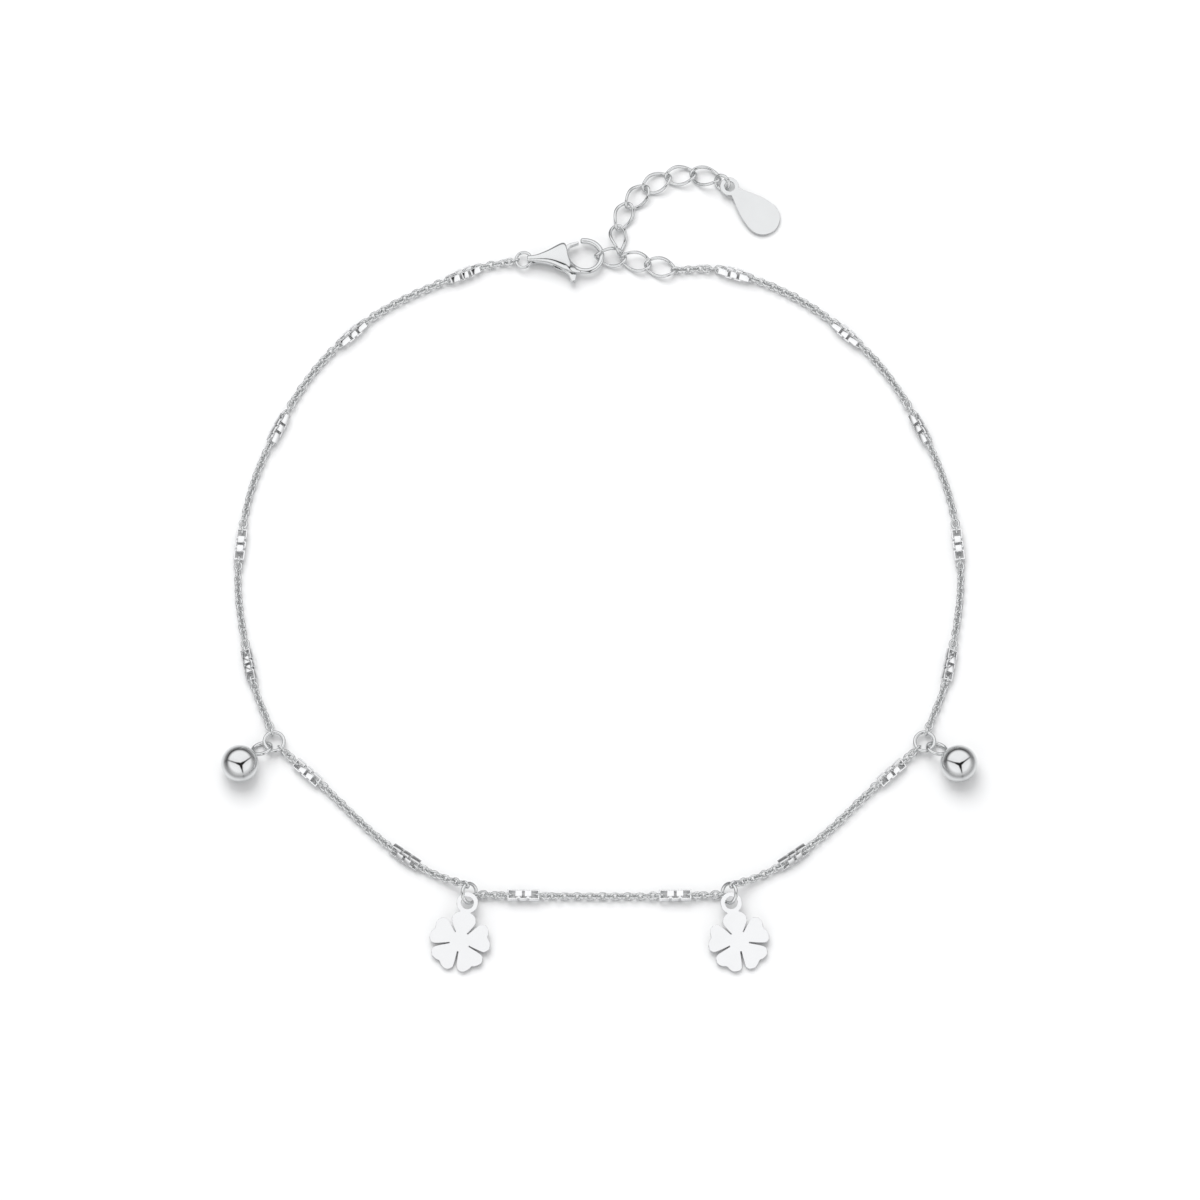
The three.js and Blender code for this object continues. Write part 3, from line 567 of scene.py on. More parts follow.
class Value:
    """A socket of a node tree, on which arithmetic adds Math nodes."""

    def __init__(self, tree, socket):
        self.tree = tree
        self.socket = socket

    def math(self, operation, *others):
        inputs = dict(enumerate((self, *others)))
        return add_node(self.tree, "ShaderNodeMath", {"operation": operation}, inputs)

    def __add__(self, other):
        return self.math("ADD", other)

    def __sub__(self, other):
        return self.math("SUBTRACT", other)

    def __rsub__(self, other):
        return add_node(self.tree, "ShaderNodeMath", {"operation": "SUBTRACT"}, {0: other, 1: self})

    def __mul__(self, other):
        return self.math("MULTIPLY", other)

    def __truediv__(self, other):
        return self.math("DIVIDE", other)

    __radd__ = __add__
    __rmul__ = __mul__

    def ramp(self, low, high, start=0.0, end=1.0):
        """Smooth step of this value from one result to another."""
        return add_node(
            self.tree, "ShaderNodeMapRange", {"interpolation_type": "SMOOTHSTEP"},
            {"Value": self, "From Min": low, "From Max": high, "To Min": start, "To Max": end},
        )


def add_node(tree, kind, settings=None, inputs=None, output=0):
    """Adds one node, sets it, fills its sockets, and gives one of its outputs."""
    node = tree.nodes.new(kind)
    for name, setting in (settings or {}).items():
        setattr(node, name, setting)
    for key, value in (inputs or {}).items():
        if isinstance(value, Value):
            tree.links.new(value.socket, node.inputs[key])
        else:
            node.inputs[key].default_value = value
    return Value(tree, node.outputs[output]) if node.outputs else None


def mix_colours(tree, share, first, second):
    inputs = {0: share, 6: first, 7: second}
    return add_node(tree, "ShaderNodeMix", {"data_type": "RGBA"}, inputs, output=2)


def empty_tree(owner):
    """Node tree of a new material or world, cleared."""
    owner.use_nodes = True
    owner.node_tree.nodes.clear()
    return owner.node_tree


def silver_material(name, colour, roughness, scratch, spread):
    """Polished silver with faint clouds, polishing marks and slightly worn roughness."""
    tree = empty_tree(bpy.data.materials.new(name))
    place = add_node(tree, "ShaderNodeTexCoord", output=3)
    clouds = add_node(
        tree, "ShaderNodeTexNoise", {},
        {"Vector": place, "Scale": CLOUD_SCALE, "Detail": 3.0, "Roughness": 0.55},
    )
    stretched = add_node(
        tree, "ShaderNodeVectorMath", {"operation": "MULTIPLY"}, {0: place, 1: MARK_STRETCH},
    )
    marks = add_node(
        tree, "ShaderNodeTexNoise", {},
        {"Vector": stretched, "Scale": MARK_SCALE, "Detail": 4.0, "Roughness": 0.6},
    )
    rough = roughness + spread * clouds.ramp(0.35, 0.7) + 0.4 * spread * marks
    dimmed = (*(CLOUD_TINT * part for part in colour), 1.0)
    tint = mix_colours(tree, clouds.ramp(0.3, 0.75), dimmed, (*colour, 1.0))
    bump = add_node(
        tree, "ShaderNodeBump", {}, {"Strength": 1.0, "Distance": scratch, "Height": marks},
    )
    shader = add_node(
        tree, "ShaderNodeBsdfPrincipled", {},
        {"Base Color": tint, "Metallic": 1.0, "Roughness": rough, "Normal": bump},
    )
    add_node(tree, "ShaderNodeOutputMaterial", {}, {"Surface": shader})


def silver_finish(name):
    """One of the three finishes of the silver; all are made the first time. The finish of the clasp, rings,
    extension, tag and balls is a copy with a darker colour, as painted shade.
    """
    look = bpy.context.scene.bracelet_silver
    made = bpy.data.materials
    if name not in made:
        silver_material("polished_silver", look.colour, look.polish, look.scratch, 0.035)
        silver_material("shade_painted_silver", look.painted_shade_colour, look.polish, look.scratch, 0.035)
        silver_material("chain_silver", look.colour, look.chain_polish, look.scratch * 2, 0.06)
    return made[name]


# Places of the chain's ends


def bar_frame(node):
    """Middle, length and width direction of a bar as it is shown."""
    centre, along, across, _ = axes_of(node)
    along = towards(along, Vector((1, 0, 0)))
    roll = math.radians(BAR_ROLLS[int(node[-1]) - 1])
    return centre, along, Matrix.Rotation(roll, 3, along) @ across


def bar_port(node, target):
    sizes = bpy.context.scene.bracelet_chain
    centre, along, across = bar_frame(node)
    aim = towards(along, target - centre)
    inset = mm(sizes.bar_plate + sizes.bar_eye_play + sizes.wire / 2)
    reach = extent(node, centre, aim) - inset
    return centre + aim * reach, aim, across


def ring_port(point, tangent, wire, target):
    """Chain end that holds a wire at a point, and leaves for a target."""
    sizes = bpy.context.scene.bracelet_chain
    flat = (target - point).to_2d().to_3d().normalized()
    slope = -2 * (point.z - mm(sizes.bulk) / 2) / mm(sizes.settle)
    aim = Vector((flat.x, flat.y, slope)).normalized()
    back = wire / 2 + mm(sizes.wire / 2 + sizes.play)
    return point - aim * back, flat, tangent


def round_ring_port(node, outer, wire, direction, target):
    centre, _, _, normal = axes_of(node)
    spoke = (direction - normal * direction.dot(normal)).normalized()
    point = centre + spoke * (outer - wire) / 2
    return ring_port(point, normal.cross(spoke), wire, target)


def oval_link_port(node, target):
    sizes = bpy.context.scene.bracelet_rings
    centre, along, across, up = axes_of(node)
    along = towards(along, target - centre)
    across = up.cross(along)
    point = centre + along * mm(sizes.link_length - sizes.link_wire) / 2
    twist = sizes.link_twist
    tangent = across * math.cos(twist) - up * math.sin(twist)
    return ring_port(point, tangent, mm(sizes.link_wire), target)


def chain_ends():
    """Name and two ends of each run of fine chain."""
    rings = bpy.context.scene.bracelet_rings
    outer, wire = mm(rings.drop_outer), mm(rings.drop_wire)
    runs = []
    for word, side in SIDES.items():
        bars = [f"bar_{word}_{i}" for i in range(1, 9)]
        centres = [bar_frame(bar)[0] for bar in bars]
        if word == "right":
            top = oval_link_port("extension_link_3", centres[0])
        else:
            top = round_ring_port(
                "clasp_ring", mm(rings.clasp_outer), mm(rings.clasp_wire), Vector((-1, 0, 0)), centres[0],
            )
        pairs = [(top, bar_port(bars[0], top[0]))]
        for i in range(1, 8):
            above, below = bars[i - 1:i + 1]
            if i in RINGS_AFTER_BAR:
                kind, ways = RINGS_AFTER_BAR[i]
                upper, lower = (
                    round_ring_port(f"{kind}_{word}", outer, wire, mirrored(way, side), centre)
                    for way, centre in zip(ways, centres[i - 1:i + 1])
                )
                pairs += [(bar_port(above, upper[0]), upper), (lower, bar_port(below, lower[0]))]
            else:
                pairs.append((bar_port(above, centres[i]), bar_port(below, centres[i - 1])))
        runs += [(f"run_{word}_{i + 1}", *pair) for i, pair in enumerate(pairs)]
    left, right = bar_frame("bar_left_8")[0], bar_frame("bar_right_8")[0]
    runs.append(("run_front", bar_port("bar_left_8", right), bar_port("bar_right_8", left)))
    return runs


def lengths_along(points):
    """How far along a line each of its points lies."""
    steps = np.linalg.norm(np.diff(points, axis=0), axis=1)
    return np.concatenate([[0], np.cumsum(steps)])


def run_line(start, end):
    """Points of a run's middle line, and how far along it each one lies."""
    sizes = bpy.context.scene.bracelet_chain
    rest, settle = mm(sizes.bulk) / 2, mm(sizes.settle)
    span = (start[0] - end[0]).length
    a, b = np.array(start[0]), np.array(start[0] + start[1] * span / 3)
    c, d = np.array(end[0] + end[1] * span / 3), np.array(end[0])
    t = np.linspace(0, 1, 401)[:, None]
    points = a * (1 - t) ** 3 + 3 * b * t * (1 - t) ** 2 + 3 * c * t ** 2 * (1 - t) + d * t ** 3
    along = lengths_along(points)
    share = along / along[-1] * span
    fall_start = np.clip(1 - share / settle, 0, None) ** 2
    fall_end = np.clip(1 - (span - share) / settle, 0, None) ** 2
    points[:, 2] = rest + (start[0].z - rest) * fall_start + (end[0].z - rest) * fall_end
    return points, lengths_along(points)


def roll_of(tangent, normal):
    """Turn about a tangent, from straight up, of a link's flat side."""
    level = UP.cross(tangent).normalized()
    upward = tangent.cross(level)
    return math.atan2(normal.dot(level), normal.dot(upward))


def nearest_turn(start, wanted, period):
    return (wanted - start + period / 2) % period - period / 2


def link_places(start, end, rng):
    """Placing matrices of the links of one run."""
    sizes = bpy.context.scene.bracelet_chain
    points, along = run_line(start, end)
    length = along[-1]
    reach = mm(sizes.link_length - sizes.wire)
    count = round((length - reach) / mm(sizes.pitch)) + 1
    pitch = (length - reach) / (count - 1)

    def at(distance):
        return Vector(tuple(np.interp(distance, along, points[:, k]) for k in range(3)))

    def tangent_at(distance):
        near, far = max(distance - 0.2, 0), min(distance + 0.2, length)
        return (at(far) - at(near)).normalized()

    first_line, last_line = tangent_at(0.0), tangent_at(length)
    first = roll_of(first_line, start[2])
    last = roll_of(last_line, end[2]) - math.pi / 2 * (count - 1)
    to_middle = nearest_turn(first, math.pi / 4, math.pi / 2)
    places = []
    for i in range(count):
        share_start = max(0.0, 1 - i / TURNING_LINKS)
        share_end = max(0.0, 1 - (count - 1 - i) / TURNING_LINKS)
        turn = first + to_middle * (1 - share_start)
        if count > TURNING_LINKS:
            turn += nearest_turn(turn, last, math.pi) * share_end
        else:
            turn = first + nearest_turn(first, last, math.pi) * i / max(1, count - 1)
        turn += math.pi / 2 * i
        loose = 0.0 if i in (0, count - 1) else 1.0
        turn += loose * rng.uniform(-sizes.wobble, sizes.wobble)
        if i == 0:
            line, centre = first_line, start[0] + first_line * reach / 2
        elif i == count - 1:
            line, centre = last_line, end[0] - last_line * reach / 2
        else:
            distance = reach / 2 + i * pitch
            line, centre = tangent_at(distance), at(distance)
        level = UP.cross(line).normalized()
        upward = line.cross(level)
        normal = upward * math.cos(turn) + level * math.sin(turn)
        half_height = mm(sizes.link_width - sizes.wire) * abs(math.sin(turn)) / 2 + mm(sizes.wire) / 2
        centre.z = max(centre.z, half_height)
        places.append(frame_at(centre, line, normal))
    return places


# Operators, one for each piece or group of like pieces


class BRACELET_OT_chain(bpy.types.Operator):
    """Lay the fine chain's links along every run"""

    bl_idname = "bracelet.chain"
    bl_label = "Fine chain"

    def execute(self, context):
        sizes = context.scene.bracelet_chain
        rng = random.Random(context.scene.bracelet_stage.seed)
        link = link_mesh(mm(sizes.link_length), mm(sizes.link_width), mm(sizes.wire), 0.0, *FINE_LINK_FACES)
        for name, start, end in chain_ends():
            bm = joined(link, link_places(start, end, rng))
            finish_piece(f"chain_{name}", bm, "chain_silver", [name], sharp=80)
        link.free()
        return {"FINISHED"}


class BRACELET_OT_bars(bpy.types.Operator):
    """Build the stiff bars from small boxes soldered in a row"""

    bl_idname = "bracelet.bars"
    bl_label = "Box bars"

    def execute(self, context):
        sizes = context.scene.bracelet_chain
        for word in SIDES:
            for i in range(1, 9):
                node = f"bar_{word}_{i}"
                centre, along, across = bar_frame(node)
                half = extent(node, centre, along)
                bm = bmesh.new()
                for k, (start, end) in enumerate(self.spans(sizes, half)):
                    self.add_box(bm, sizes, start, end, k % 2 == 0)
                bm.transform(frame_at(centre, along, across))
                finish_piece(f"box_{node}", bm, "polished_silver", [node], sharp=50)
        return {"FINISHED"}

    def spans(self, sizes, half):
        plate, solder, pitch = mm(sizes.bar_plate), mm(sizes.bar_solder), mm(sizes.bar_pitch)
        length = pitch + 2 * plate - 2 * solder
        inner = [(i * pitch - length / 2, i * pitch + length / 2) for i in (-1, 0, 1)]
        start = inner[-1][1] - 2 * plate + 2 * solder
        return [(-half, -start), *inner, (start, half)]

    def add_box(self, bm, sizes, start, end, turned):
        made = bmesh.ops.create_cube(bm, size=1.0)["verts"]
        size = (end - start, mm(sizes.bar_width), mm(sizes.bar_strip))
        bmesh.ops.scale(bm, vec=size, verts=made)
        bmesh.ops.translate(bm, vec=((start + end) / 2, 0, 0), verts=made)
        faces = list({face for vertex in made for face in vertex.link_faces})
        lids = [face for face in faces if abs(face.normal.z) > 0.9 or abs(face.calc_center_median().z) > 1e-6]
        walls = bmesh.ops.inset_individual(
            bm, faces=lids, thickness=mm(sizes.bar_plate), depth=0.0, use_even_offset=True,
        )["faces"]
        loops = list({edge for lid in lids for edge in lid.edges})
        bmesh.ops.delete(bm, geom=lids, context="FACES_ONLY")
        bridge = bmesh.ops.bridge_loops(bm, edges=loops)["faces"]
        faces = list({*walls, *bridge, *[face for vertex in made for face in vertex.link_faces]})
        edges = list({edge for face in faces for edge in face.edges})
        edge = mm(sizes.bar_edge)
        outline = [item for item in edges if item.is_valid and item.calc_face_angle(0.0) > 1.0]
        grown = bmesh.ops.bevel(
            bm, geom=outline, offset=edge, offset_type="OFFSET", affect="EDGES", segments=2, profile=0.5,
            material=-1, clamp_overlap=True,
        )["faces"]
        verts = list({vertex for face in [*grown, *faces] if face.is_valid for vertex in face.verts})
        if turned:
            bmesh.ops.rotate(bm, cent=(0, 0, 0), matrix=Matrix.Rotation(math.pi / 2, 3, "X"), verts=verts)


class BRACELET_OT_rings(bpy.types.Operator):
    """Build the round jump rings"""

    bl_idname = "bracelet.rings"
    bl_label = "Rings"

    def execute(self, context):
        sizes = context.scene.bracelet_rings
        drop = (mm(sizes.drop_outer), mm(sizes.drop_wire))
        rows = {f"{kind}_ring_{word}": drop for kind in ("ball", "flower") for word in SIDES}
        rows["clasp_ring"] = (mm(sizes.clasp_outer), mm(sizes.clasp_wire))
        rows["tag_ring"] = (mm(sizes.tag_outer), mm(sizes.tag_wire))
        for node, (outer, wire) in rows.items():
            centre, along, _, normal = axes_of(node)
            bm = ring_mesh(outer, wire)
            bm.transform(frame_at(centre, along, normal))
            finish_piece(f"round_{node}", bm, "shade_painted_silver", [node], sharp=80)
        return {"FINISHED"}


class BRACELET_OT_extension(bpy.types.Operator):
    """Build the extension's twisted oval links"""

    bl_idname = "bracelet.extension"
    bl_label = "Extension links"

    def execute(self, context):
        sizes = context.scene.bracelet_rings
        for i in range(1, 10):
            node = f"extension_link_{i}"
            centre, along, across, up = axes_of(node)
            bm = link_mesh(
                mm(sizes.link_length), mm(sizes.link_width), mm(sizes.link_wire), sizes.link_twist,
                *OVAL_LINK_FACES,
            )
            bm.transform(frame_at(centre, along, along.cross(across)))
            finish_piece(f"oval_{node}", bm, "shade_painted_silver", [node], sharp=80)
        return {"FINISHED"}


class BRACELET_OT_balls(bpy.types.Operator):
    """Build the polished balls with their soldered rings"""

    bl_idname = "bracelet.balls"
    bl_label = "Ball drops"

    def execute(self, context):
        sizes = context.scene.bracelet_drops
        radius = mm(sizes.ball) / 2
        for word, side in SIDES.items():
            node = f"ball_{word}"
            low, high = (corner * 1000 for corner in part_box(node))
            outward = low.x + radius if side < 0 else high.x - radius
            centre = Vector((outward, low.y + radius, low.z + radius))
            middle = np.array(centre)

            def on_ring(corners):
                return min(np.linalg.norm(corners - middle, axis=1)) > radius * 1.02

            ring_middle, along, _, normal = axes_of(node, on_ring)
            aim = (ring_middle - centre).normalized()
            reach = radius + mm(sizes.ball_ring_outer) / 2 - mm(sizes.ball_ring_seat)
            bm = bmesh.new()
            bmesh.ops.create_uvsphere(bm, u_segments=BALL_FACES[0], v_segments=BALL_FACES[1], radius=radius)
            bm.transform(Matrix.Translation(centre))
            ring = ring_mesh(mm(sizes.ball_ring_outer), mm(sizes.ball_ring_wire))
            ring.transform(frame_at(centre + aim * reach, aim, normal))
            collar = self.collar(radius, mm(sizes.ball_ring_wire))
            collar.transform(frame_at(centre, normal.cross(aim), aim))
            whole = joined_solids([bm, ring, collar])
            finish_piece(f"polished_{node}", whole, "shade_painted_silver", [node], sharp=60)
        return {"FINISHED"}

    def collar(self, radius, wire):
        """Small bead of solder between the ball and its ring."""
        bm = cone_mesh(wire * COLLAR_FOOT, wire * COLLAR_TOP, wire * COLLAR_HEIGHT, sides=32)
        bmesh.ops.translate(bm, verts=bm.verts[:], vec=(0, 0, radius + wire * COLLAR_RISE))
        return bm


def polar(radius, angle):
    return radius * math.cos(angle), radius * math.sin(angle)


def eyed_plate(node, outline, eye_outer, eye_hole, thickness, edge):
    """Flat plate in a node's place; its outline counts from the middle of the eye at its upper end."""
    centre, along, _, normal = axes_of(node)
    to_eye = towards(along, Vector((0, 1, 0)))
    eye = centre + to_eye * (extent(node, centre, to_eye) - mm(eye_outer) / 2)
    hole = [polar(mm(eye_hole) / 2, FULL_TURN * i / HOLE_SIDES) for i in range(HOLE_SIDES)]
    bm = plate_mesh([outline, hole], mm(thickness), mm(edge))
    bm.transform(frame_at(eye, -to_eye, towards(normal, UP)))
    return bm


class BRACELET_OT_flowers(bpy.types.Operator):
    """Cut the flat five-petal flowers with their eyes"""

    bl_idname = "bracelet.flowers"
    bl_label = "Flower drops"

    def execute(self, context):
        sizes = context.scene.bracelet_drops
        for word in SIDES:
            node = f"flower_{word}"
            bm = eyed_plate(
                node, self.outline(sizes), sizes.flower_eye_outer, sizes.flower_eye_hole,
                sizes.flower_thickness, sizes.edge,
            )
            finish_piece(f"cut_{node}", bm, "polished_silver", [node], sharp=25)
        return {"FINISHED"}

    def petal(self, sizes, angle, notched):
        outer = mm(sizes.flower) / 2
        half_slot = mm(sizes.flower_slot) / 2
        inner = outer * SLOT_START
        edge = math.pi / 5
        half = [(
            inner * math.cos(edge) + half_slot * math.sin(edge),
            inner * math.sin(edge) - half_slot * math.cos(edge),
        )]
        for share, degrees in NOTCHED_RIM if notched else ROUND_RIM:
            half.append(polar(outer * share, math.radians(degrees)))
        whole = [(x, -y) for x, y in half] + [(x, y) for x, y in half[-2::-1]]
        smooth = smooth_path(whole, per=6)
        c, s = math.cos(angle), math.sin(angle)
        return [(x * c - y * s, x * s + y * c) for x, y in smooth]

    def outline(self, sizes):
        """Rim of the petals and the eye, from the eye's middle, petals towards +x."""
        reach = mm(sizes.flower_reach)
        eye = mm(sizes.flower_eye_outer) / 2
        outline = []
        for i in range(5):
            petal = self.petal(sizes, math.pi + i * FULL_TURN / 5, i != 0)
            outline += [(x + reach, y) for x, y in petal]
        outside = [(x, y) for x, y in outline if math.hypot(x, y) > eye]
        start = next(
            i for i, (a, b) in enumerate(zip(outside, outside[1:] + outside[:1]))
            if math.hypot(a[0] - b[0], a[1] - b[1]) > eye / 2 and a[0] < reach - 1
        )
        last, first = outside[start], outside[(start + 1) % len(outside)]
        angle_from = math.atan2(last[1], last[0]) % FULL_TURN
        angle_to = math.atan2(first[1], first[0]) % FULL_TURN
        if angle_to < angle_from:
            angle_to += FULL_TURN
        step = (angle_to - angle_from) / FLOWER_EYE_STEPS
        arc = [polar(eye, angle_from + step * k) for k in range(1, FLOWER_EYE_STEPS)]
        return outside[:start + 1] + arc + outside[start + 1:]


class BRACELET_OT_tag(bpy.types.Operator):
    """Cut the plain tag at the end of the extension"""

    bl_idname = "bracelet.tag"
    bl_label = "Tag"

    def execute(self, context):
        sizes = context.scene.bracelet_drops
        bm = eyed_plate(
            "tag", self.outline(sizes), sizes.tag_eye_outer, sizes.tag_eye_hole, sizes.tag_thickness,
            sizes.edge,
        )
        finish_piece("plain_tag", bm, "shade_painted_silver", ["tag"], sharp=25)
        return {"FINISHED"}

    def outline(self, sizes):
        """Rim of the tag and its eye, from the eye's middle, round end towards +x."""
        tip = mm(sizes.tag_reach) + mm(sizes.tag_round) / 2
        wide, eye = mm(sizes.tag_round) / 2, mm(sizes.tag_eye_outer) / 2
        half = [(x * tip, y * wide) for x, y in TAG_RIM]
        rim = smooth_path(half[:-1] + [(x, -y) for x, y in half[::-1]], per=7)
        rim = [(x, y) for x, y in rim if math.hypot(x, y) > eye]
        start = math.atan2(rim[0][1], rim[0][0])
        free = FULL_TURN - 2 * start
        turns = [start + free * (1 - k / TAG_EYE_STEPS) for k in range(1, TAG_EYE_STEPS)]
        return rim + [polar(eye, turn) for turn in turns]


class BRACELET_OT_clasp(bpy.types.Operator):
    """Build the trigger clasp's body and its lever"""

    bl_idname = "bracelet.clasp"
    bl_label = "Clasp"

    def execute(self, context):
        sizes = context.scene.bracelet_clasp
        pivot = Vector(frame["joints"][0]["pos_m"]) * 1000
        place = Matrix.Translation(pivot)
        for node, bm, body in (
            ("clasp_body", self.body(sizes), BODY), ("clasp_lever", self.lever(sizes), LEVER),
        ):
            bm.transform(place)
            finish_piece(f"cast_{node}", bm, "shade_painted_silver", [node], sharp=180, body=body)
        return {"FINISHED"}

    def points(self, sizes, shares):
        return [(x * mm(sizes.length), y * mm(sizes.height)) for x, y in shares]

    def body(self, sizes):
        length, height, depth = mm(sizes.length), mm(sizes.height), mm(sizes.thickness) / 2
        ahead = Vector((1, 0, 0))
        stations = []
        for x, low, high, share in smooth_path(BODY_SECTIONS, per=3):
            middle = Vector((x * length, (low + high) / 2 * height, 0))
            stations.append((middle, ahead, (high - low) / 2 * height, share * depth))
        block = loft_mesh(stations, BODY_SQUARENESS)
        gap = mm(sizes.lever_thickness + 2 * sizes.lever_clearance)
        pocket = plate_mesh([self.points(sizes, POCKET_OUTLINE)], gap, 0.01, steps=1)
        hole_x, hole_y = self.points(sizes, [TAIL_HOLE])[0]
        hole = disc_mesh(mm(sizes.eye_hole), mm(sizes.height) / 2)
        hole.transform(Matrix.Translation((hole_x, hole_y, 0)) @ Matrix.Rotation(math.pi / 2, 4, "X"))
        walls = fused([block], [pocket, hole], WALL_GRID, WALL_ROUNDS)
        route = [Vector((x, y, 0)) for x, y in smooth_path(self.points(sizes, CLAW_PATH), per=5)]
        half = mm(sizes.claw_width) / 2
        deep = sizes.claw_depth / sizes.claw_width
        rod = []
        for i, point in enumerate(route):
            heading = route[min(i + 1, len(route) - 1)] - route[max(i - 1, 0)]
            width = half * min(1.0, 0.45 + 0.55 * math.sqrt((len(route) - 1 - i) / 1.5))
            rod.append((point, heading, width, width * deep))
        claw = loft_mesh(rod, CLAW_SQUARENESS)
        pin = disc_mesh(mm(sizes.pin), mm(sizes.thickness - sizes.pin_inset))
        return fused([walls, claw, pin], [], BODY_GRID, BODY_ROUNDS)

    def lever(self, sizes):
        thick = mm(sizes.lever_thickness)
        gate = plate_mesh([self.points(sizes, GATE_OUTLINE)], thick, LEVER_ROUNDING)
        thumb = plate_mesh([self.points(sizes, THUMB_OUTLINE)], thick, LEVER_ROUNDING)
        hub = disc_mesh(mm(sizes.hub), thick)
        bore = disc_mesh(mm(sizes.pin + 2 * sizes.lever_clearance), 2 * thick)
        return fused([gate, thumb, hub], [bore], LEVER_GRID, LEVER_ROUNDS)


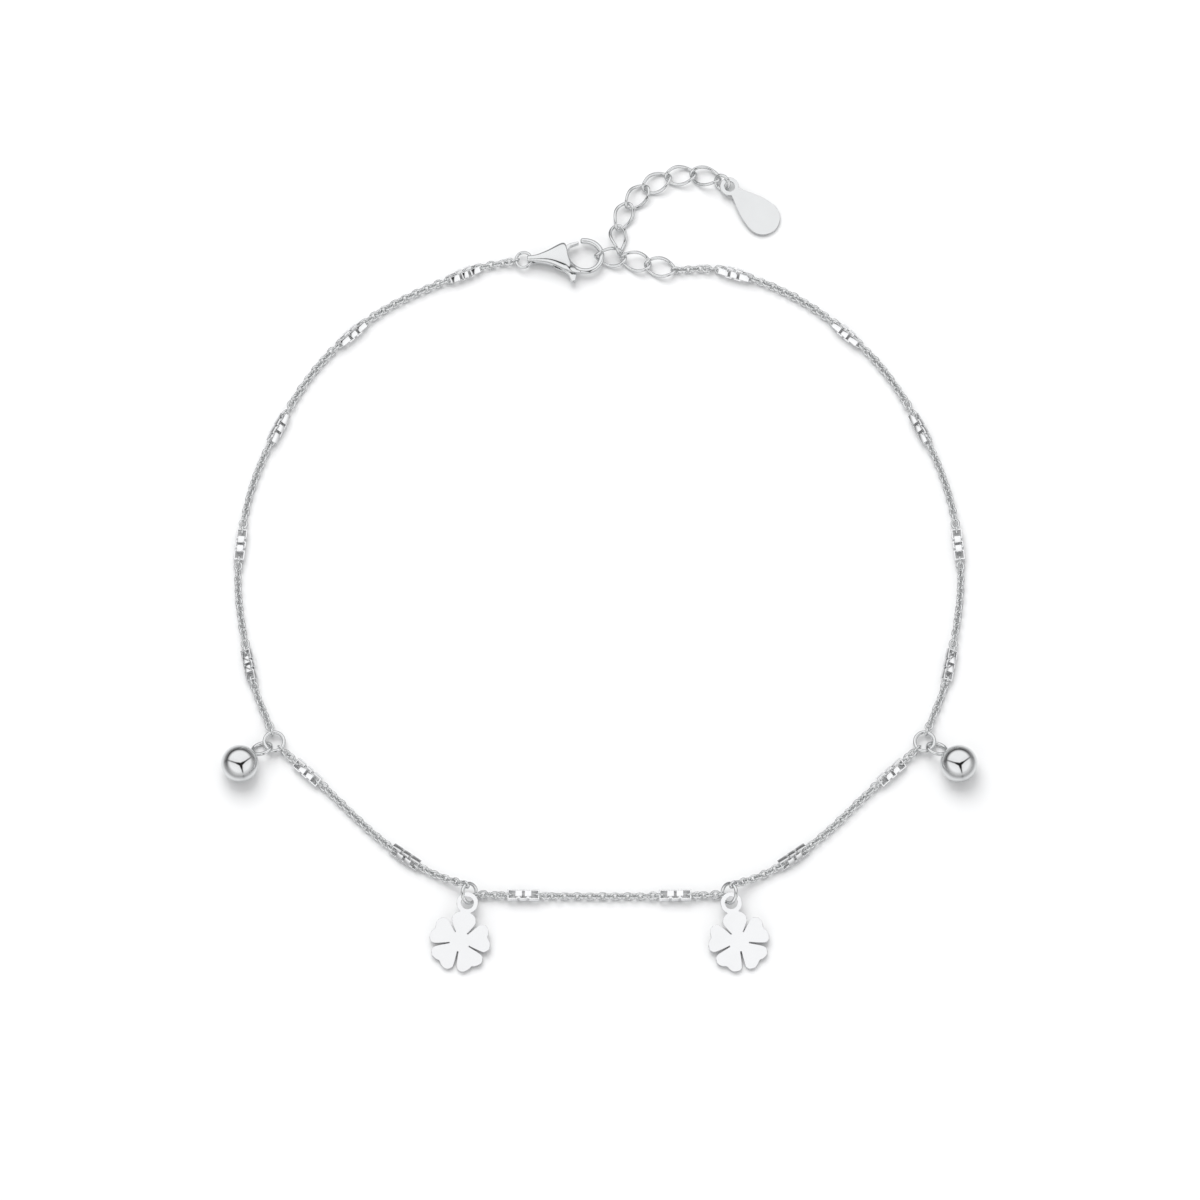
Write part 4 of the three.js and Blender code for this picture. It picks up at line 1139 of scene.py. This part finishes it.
class BRACELET_OT_stage(bpy.types.Operator):
    """Set up the floor, the light and the camera"""

    bl_idname = "bracelet.stage"
    bl_label = "Stage"

    def execute(self, context):
        look = context.scene.bracelet_stage
        self.floor(look)
        self.world(context.scene, look)
        self.key(look)
        self.camera(context.scene, look)
        context.scene.view_settings.view_transform = "Standard"
        return {"FINISHED"}

    def floor(self, look):
        bm = bmesh.new()
        bmesh.ops.create_grid(bm, x_segments=1, y_segments=1, size=FLOOR_SIZE)
        mesh = bpy.data.meshes.new("floor")
        bm.to_mesh(mesh)
        bm.free()
        floor = bpy.data.objects.new("floor", mesh)
        bpy.context.scene.collection.objects.link(floor)
        material = bpy.data.materials.new("floor_white")
        tree = empty_tree(material)
        # Camera rays see the evenly bright floor; every other ray sees it dimmer, and near black at a flat
        # angle, as painted shade in the silver's reflections
        seen = add_node(tree, "ShaderNodeLightPath")
        flat = add_node(tree, "ShaderNodeLayerWeight", {}, {"Blend": 0.5}, output=1)
        painted_reflection_shade = mix_colours(
            tree, flat.ramp(0.25, 0.9), (*look.floor_painted_dim_in_reflections, 1.0), (*look.floor_painted_dark_at_grazing, 1.0),
        )
        colour = mix_colours(tree, seen, painted_reflection_shade, (*look.floor, 1.0))
        shader = add_node(tree, "ShaderNodeBsdfPrincipled", {}, {"Base Color": colour, **FLOOR_GLOSS})
        add_node(tree, "ShaderNodeOutputMaterial", {}, {"Surface": shader})
        mesh.materials.append(material)

    def world(self, scene, look):
        """Three softboxes overhead that meet in thin dark seams, over a dim horizon."""
        scene.world = bpy.data.worlds.new("studio")
        tree = empty_tree(scene.world)
        sky = add_node(tree, "ShaderNodeTexCoord")
        x, y, z = (add_node(tree, "ShaderNodeSeparateXYZ", {}, {0: sky}, output=k) for k in range(3))
        c, s = math.cos(look.elevation), math.sin(look.elevation)
        up = y * s + z * c
        near = z * s - y * c
        size = ((near + 1.0) * 2.0).math("MAXIMUM", 0.01).math("SQRT")
        u = x / size - BOXES_MEET[0]
        v = up / size - BOXES_MEET[1]
        out = (u * u + v * v).math("SQRT")
        gap = None
        for degrees in SEAM_HEADINGS:
            a = math.radians(degrees)
            across = (v * math.cos(a) - u * math.sin(a)).math("ABSOLUTE")
            behind = (u * math.cos(a) + v * math.sin(a)) * -1.0
            apart = across.math("MAXIMUM", behind)
            gap = apart if gap is None else gap.math("MINIMUM", apart)
        gap = gap - out.ramp(0.0, 0.35, 0.06, 0.0)
        bright = gap.ramp(0.0, look.seam * 3, 0.0, 0.9) + gap.ramp(0.0, 0.3, 0.0, 0.1)
        bright = bright.math("MAXIMUM", out.ramp(*BOX_RIM, 0.02, 0.35))
        low = (x * LOW_LIGHT_HEADING[0] + y * LOW_LIGHT_HEADING[1]).ramp(-0.9, 0.9, *LOW_LIGHT)
        height = z.ramp(*HORIZON)
        strength = (low + (bright - low) * height) * look.softbox
        background = add_node(
            tree, "ShaderNodeBackground", {}, {"Color": STUDIO_WHITE, "Strength": strength},
        )
        add_node(tree, "ShaderNodeOutputWorld", {}, {"Surface": background})

    def key(self, look):
        lamp = bpy.data.lights.new("key", "AREA")
        lamp.shape = "DISK"
        lamp.size = KEY_SIZE
        lamp.energy = look.key
        light = bpy.data.objects.new("key", lamp)
        light.location = KEY_PLACE
        light.rotation_euler = (-light.location).to_track_quat("-Z", "Y").to_euler()
        light.visible_glossy = False
        bpy.context.scene.collection.objects.link(light)

    def camera(self, scene, look):
        data = bpy.data.cameras.new("camera")
        data.sensor_width = SENSOR_WIDTH
        data.lens = look.focal
        data.clip_start = 0.01
        data.clip_end = 10.0
        camera = bpy.data.objects.new("camera", data)
        scene.collection.objects.link(camera)
        distance = look.focal / data.sensor_width * look.view_width
        back = Vector((0.0, -math.cos(look.elevation), math.sin(look.elevation)))
        camera.location = Vector(look.centre) + back * distance
        camera.rotation_euler = (math.pi / 2 - look.elevation, 0.0, 0.0)
        scene.camera = camera


GROUPS = {
    "bracelet_chain": ChainSizes,
    "bracelet_rings": RingSizes,
    "bracelet_drops": DropSizes,
    "bracelet_clasp": ClaspSizes,
    "bracelet_silver": SilverLook,
    "bracelet_stage": StageLook,
}
OPERATORS = (
    BRACELET_OT_chain,
    BRACELET_OT_bars,
    BRACELET_OT_rings,
    BRACELET_OT_extension,
    BRACELET_OT_balls,
    BRACELET_OT_flowers,
    BRACELET_OT_tag,
    BRACELET_OT_clasp,
    BRACELET_OT_stage,
)


class BRACELET_PT_panel(bpy.types.Panel):
    """Sizes, finish and building steps of the bracelet"""

    bl_idname = "BRACELET_PT_panel"
    bl_label = "Bracelet"
    bl_space_type = "VIEW_3D"
    bl_region_type = "UI"
    bl_category = "Bracelet"

    def draw(self, context):
        for name, group in GROUPS.items():
            box = self.layout.box()
            box.label(text=group.__doc__)
            settings = getattr(context.scene, name)
            for key in group.__annotations__:
                box.prop(settings, key)
        for operator in OPERATORS:
            self.layout.operator(operator.bl_idname)


CLASSES = (*GROUPS.values(), *OPERATORS, BRACELET_PT_panel)


def register():
    for item in CLASSES:
        bpy.utils.register_class(item)
    for name, group in GROUPS.items():
        setattr(bpy.types.Scene, name, PointerProperty(type=group))


def unregister():
    for name in GROUPS:
        delattr(bpy.types.Scene, name)
    for item in reversed(CLASSES):
        bpy.utils.unregister_class(item)


def main():
    register()
    for operator in OPERATORS:
        family, name = operator.bl_idname.split(".")
        getattr(getattr(bpy.ops, family), name)()


if __name__ == "__main__":
    main()
